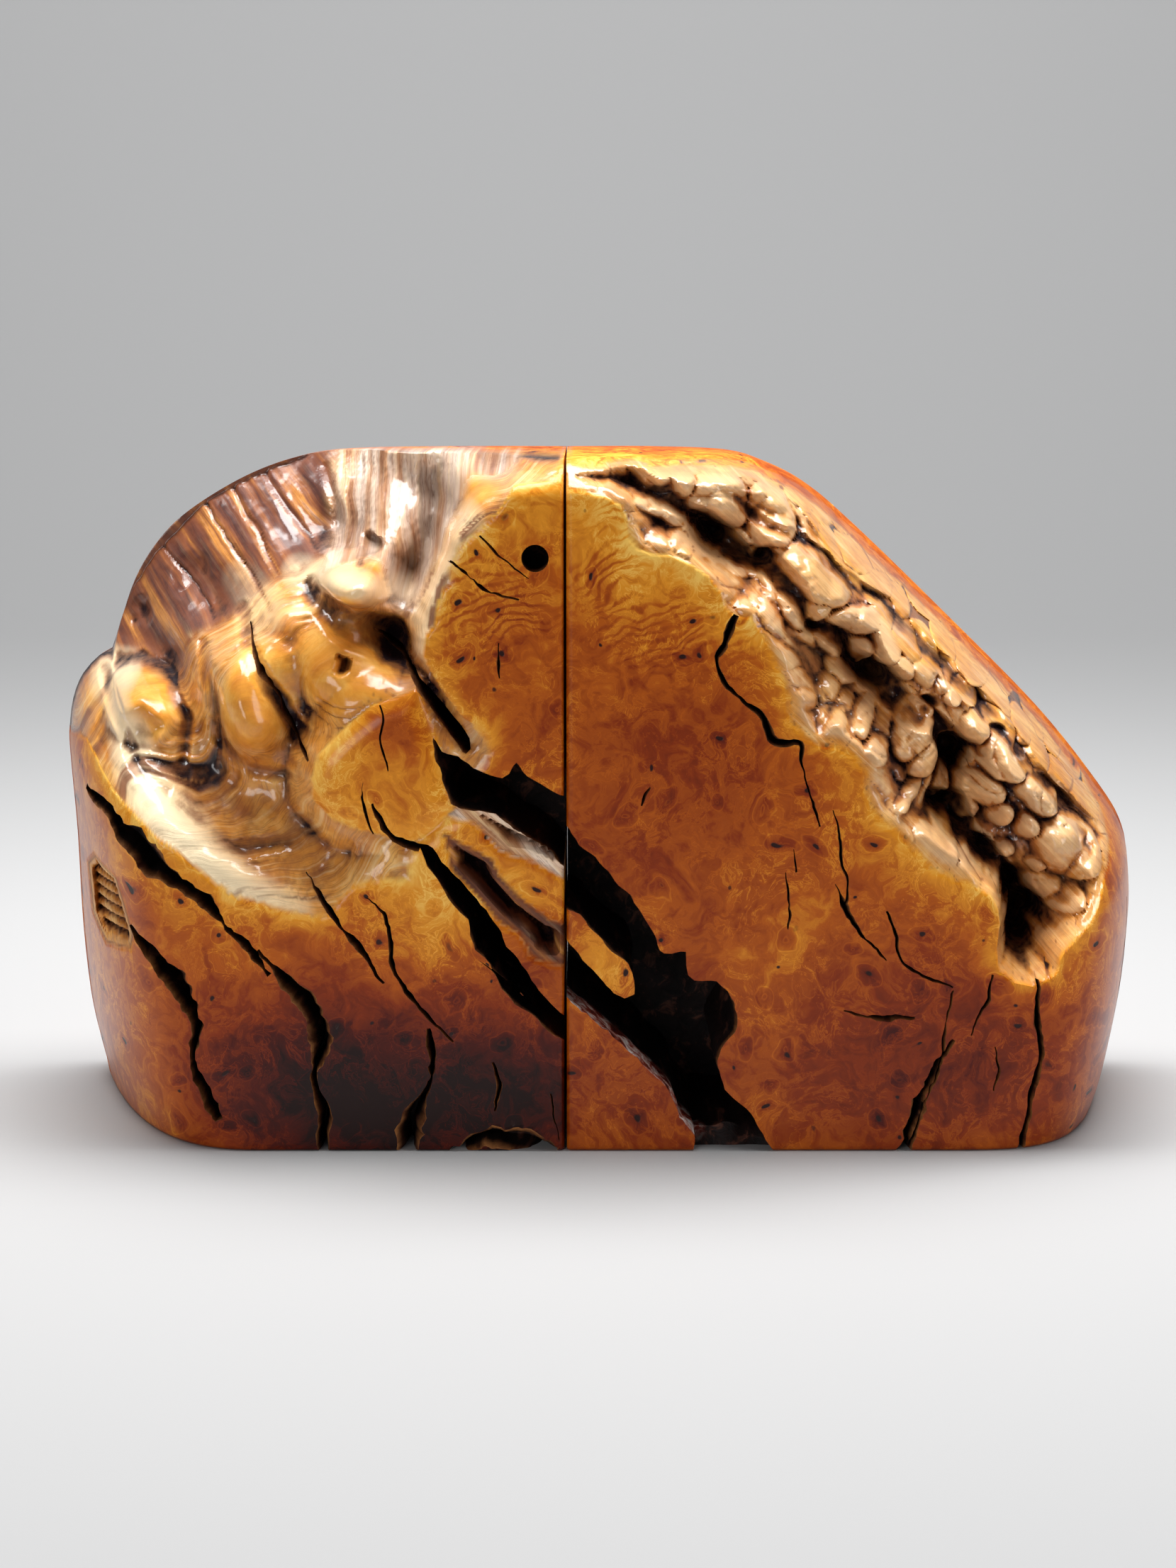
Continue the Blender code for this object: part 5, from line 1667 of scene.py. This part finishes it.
# %% Floor and lights
deselect()
bpy.ops.mesh.primitive_plane_add(size=1, location=(0, 0.2, 0))
floor = bpy.context.active_object
floor.name = "floor"
floor.scale = (6, 4, 1)
bpy.ops.object.transform_apply(location=True, rotation=False, scale=True)
bpy.ops.object.mode_set(mode="EDIT")
bpy.ops.mesh.select_mode(type="EDGE")
bpy.ops.mesh.select_all(action="DESELECT")
bpy.ops.object.mode_set(mode="OBJECT")
far_y = max(v.co.y for v in floor.data.vertices)


def edit_far_edge(top):
    """Selects the floor's far edge, below a height, and goes into edit mode."""
    corners = [v.co for v in floor.data.vertices]
    for edge in floor.data.edges:
        ends = [corners[v] for v in edge.vertices]
        edge.select = all(abs(end.y - far_y) < 1e-6 and end.z < top for end in ends)
    bpy.ops.object.mode_set(mode="EDIT")


edit_far_edge(1e-6)
bpy.ops.mesh.extrude_edges_move(TRANSFORM_OT_translate={"value": (0, 0, 3)})
bpy.ops.object.mode_set(mode="OBJECT")
edit_far_edge(1e-6)
bpy.ops.mesh.bevel(offset=1.2, segments=24)
bpy.ops.object.mode_set(mode="OBJECT")
bpy.ops.object.shade_smooth()
paper = bpy.data.materials.new("pale paper")
paper.use_nodes = True
paper_shader = paper.node_tree.nodes["Principled BSDF"]
paper_shader.inputs["Base Color"].default_value = (0.44, 0.44, 0.44, 1)
paper_shader.inputs["Roughness"].default_value = 0.9
floor.data.materials.append(paper)


def softbox(name, place, aim, width, height, power):
    data = bpy.data.lights.new(name, "AREA")
    data.shape = "RECTANGLE"
    data.size, data.size_y, data.energy = width, height, power
    lamp = bpy.data.objects.new(name, data)
    bpy.context.scene.collection.objects.link(lamp)
    lamp.location = place
    lamp.rotation_euler = (Vector(aim) - Vector(place)).to_track_quat("-Z", "Y").to_euler()


softbox("top_light", (0.0, 0.08, 0.72), (0.0, 0.0, 0.08), 0.7, 0.36, 11.0)
softbox("front_fill", (-0.9, -1.7, 0.42), (0.0, 0.0, 0.07), 0.8, 0.6, 9)
softbox("right_fill", (1.3, -0.5, 0.5), (0.0, 0.0, 0.07), 0.5, 0.6, 4)
softbox("backdrop_light", (0.0, 0.9, 1.7), (0.0, 2.4, 0.5), 2.4, 0.5, 30)

world = bpy.data.worlds.new("studio")
bpy.context.scene.world = world
world.use_nodes = True
world.node_tree.nodes["Background"].inputs["Color"].default_value = (0.9, 0.93, 1.0, 1)
world.node_tree.nodes["Background"].inputs["Strength"].default_value = 0.14
bpy.context.scene.view_settings.view_transform = "Standard"

# %% [markdown]
# ## Finish

# %% Finish
import json
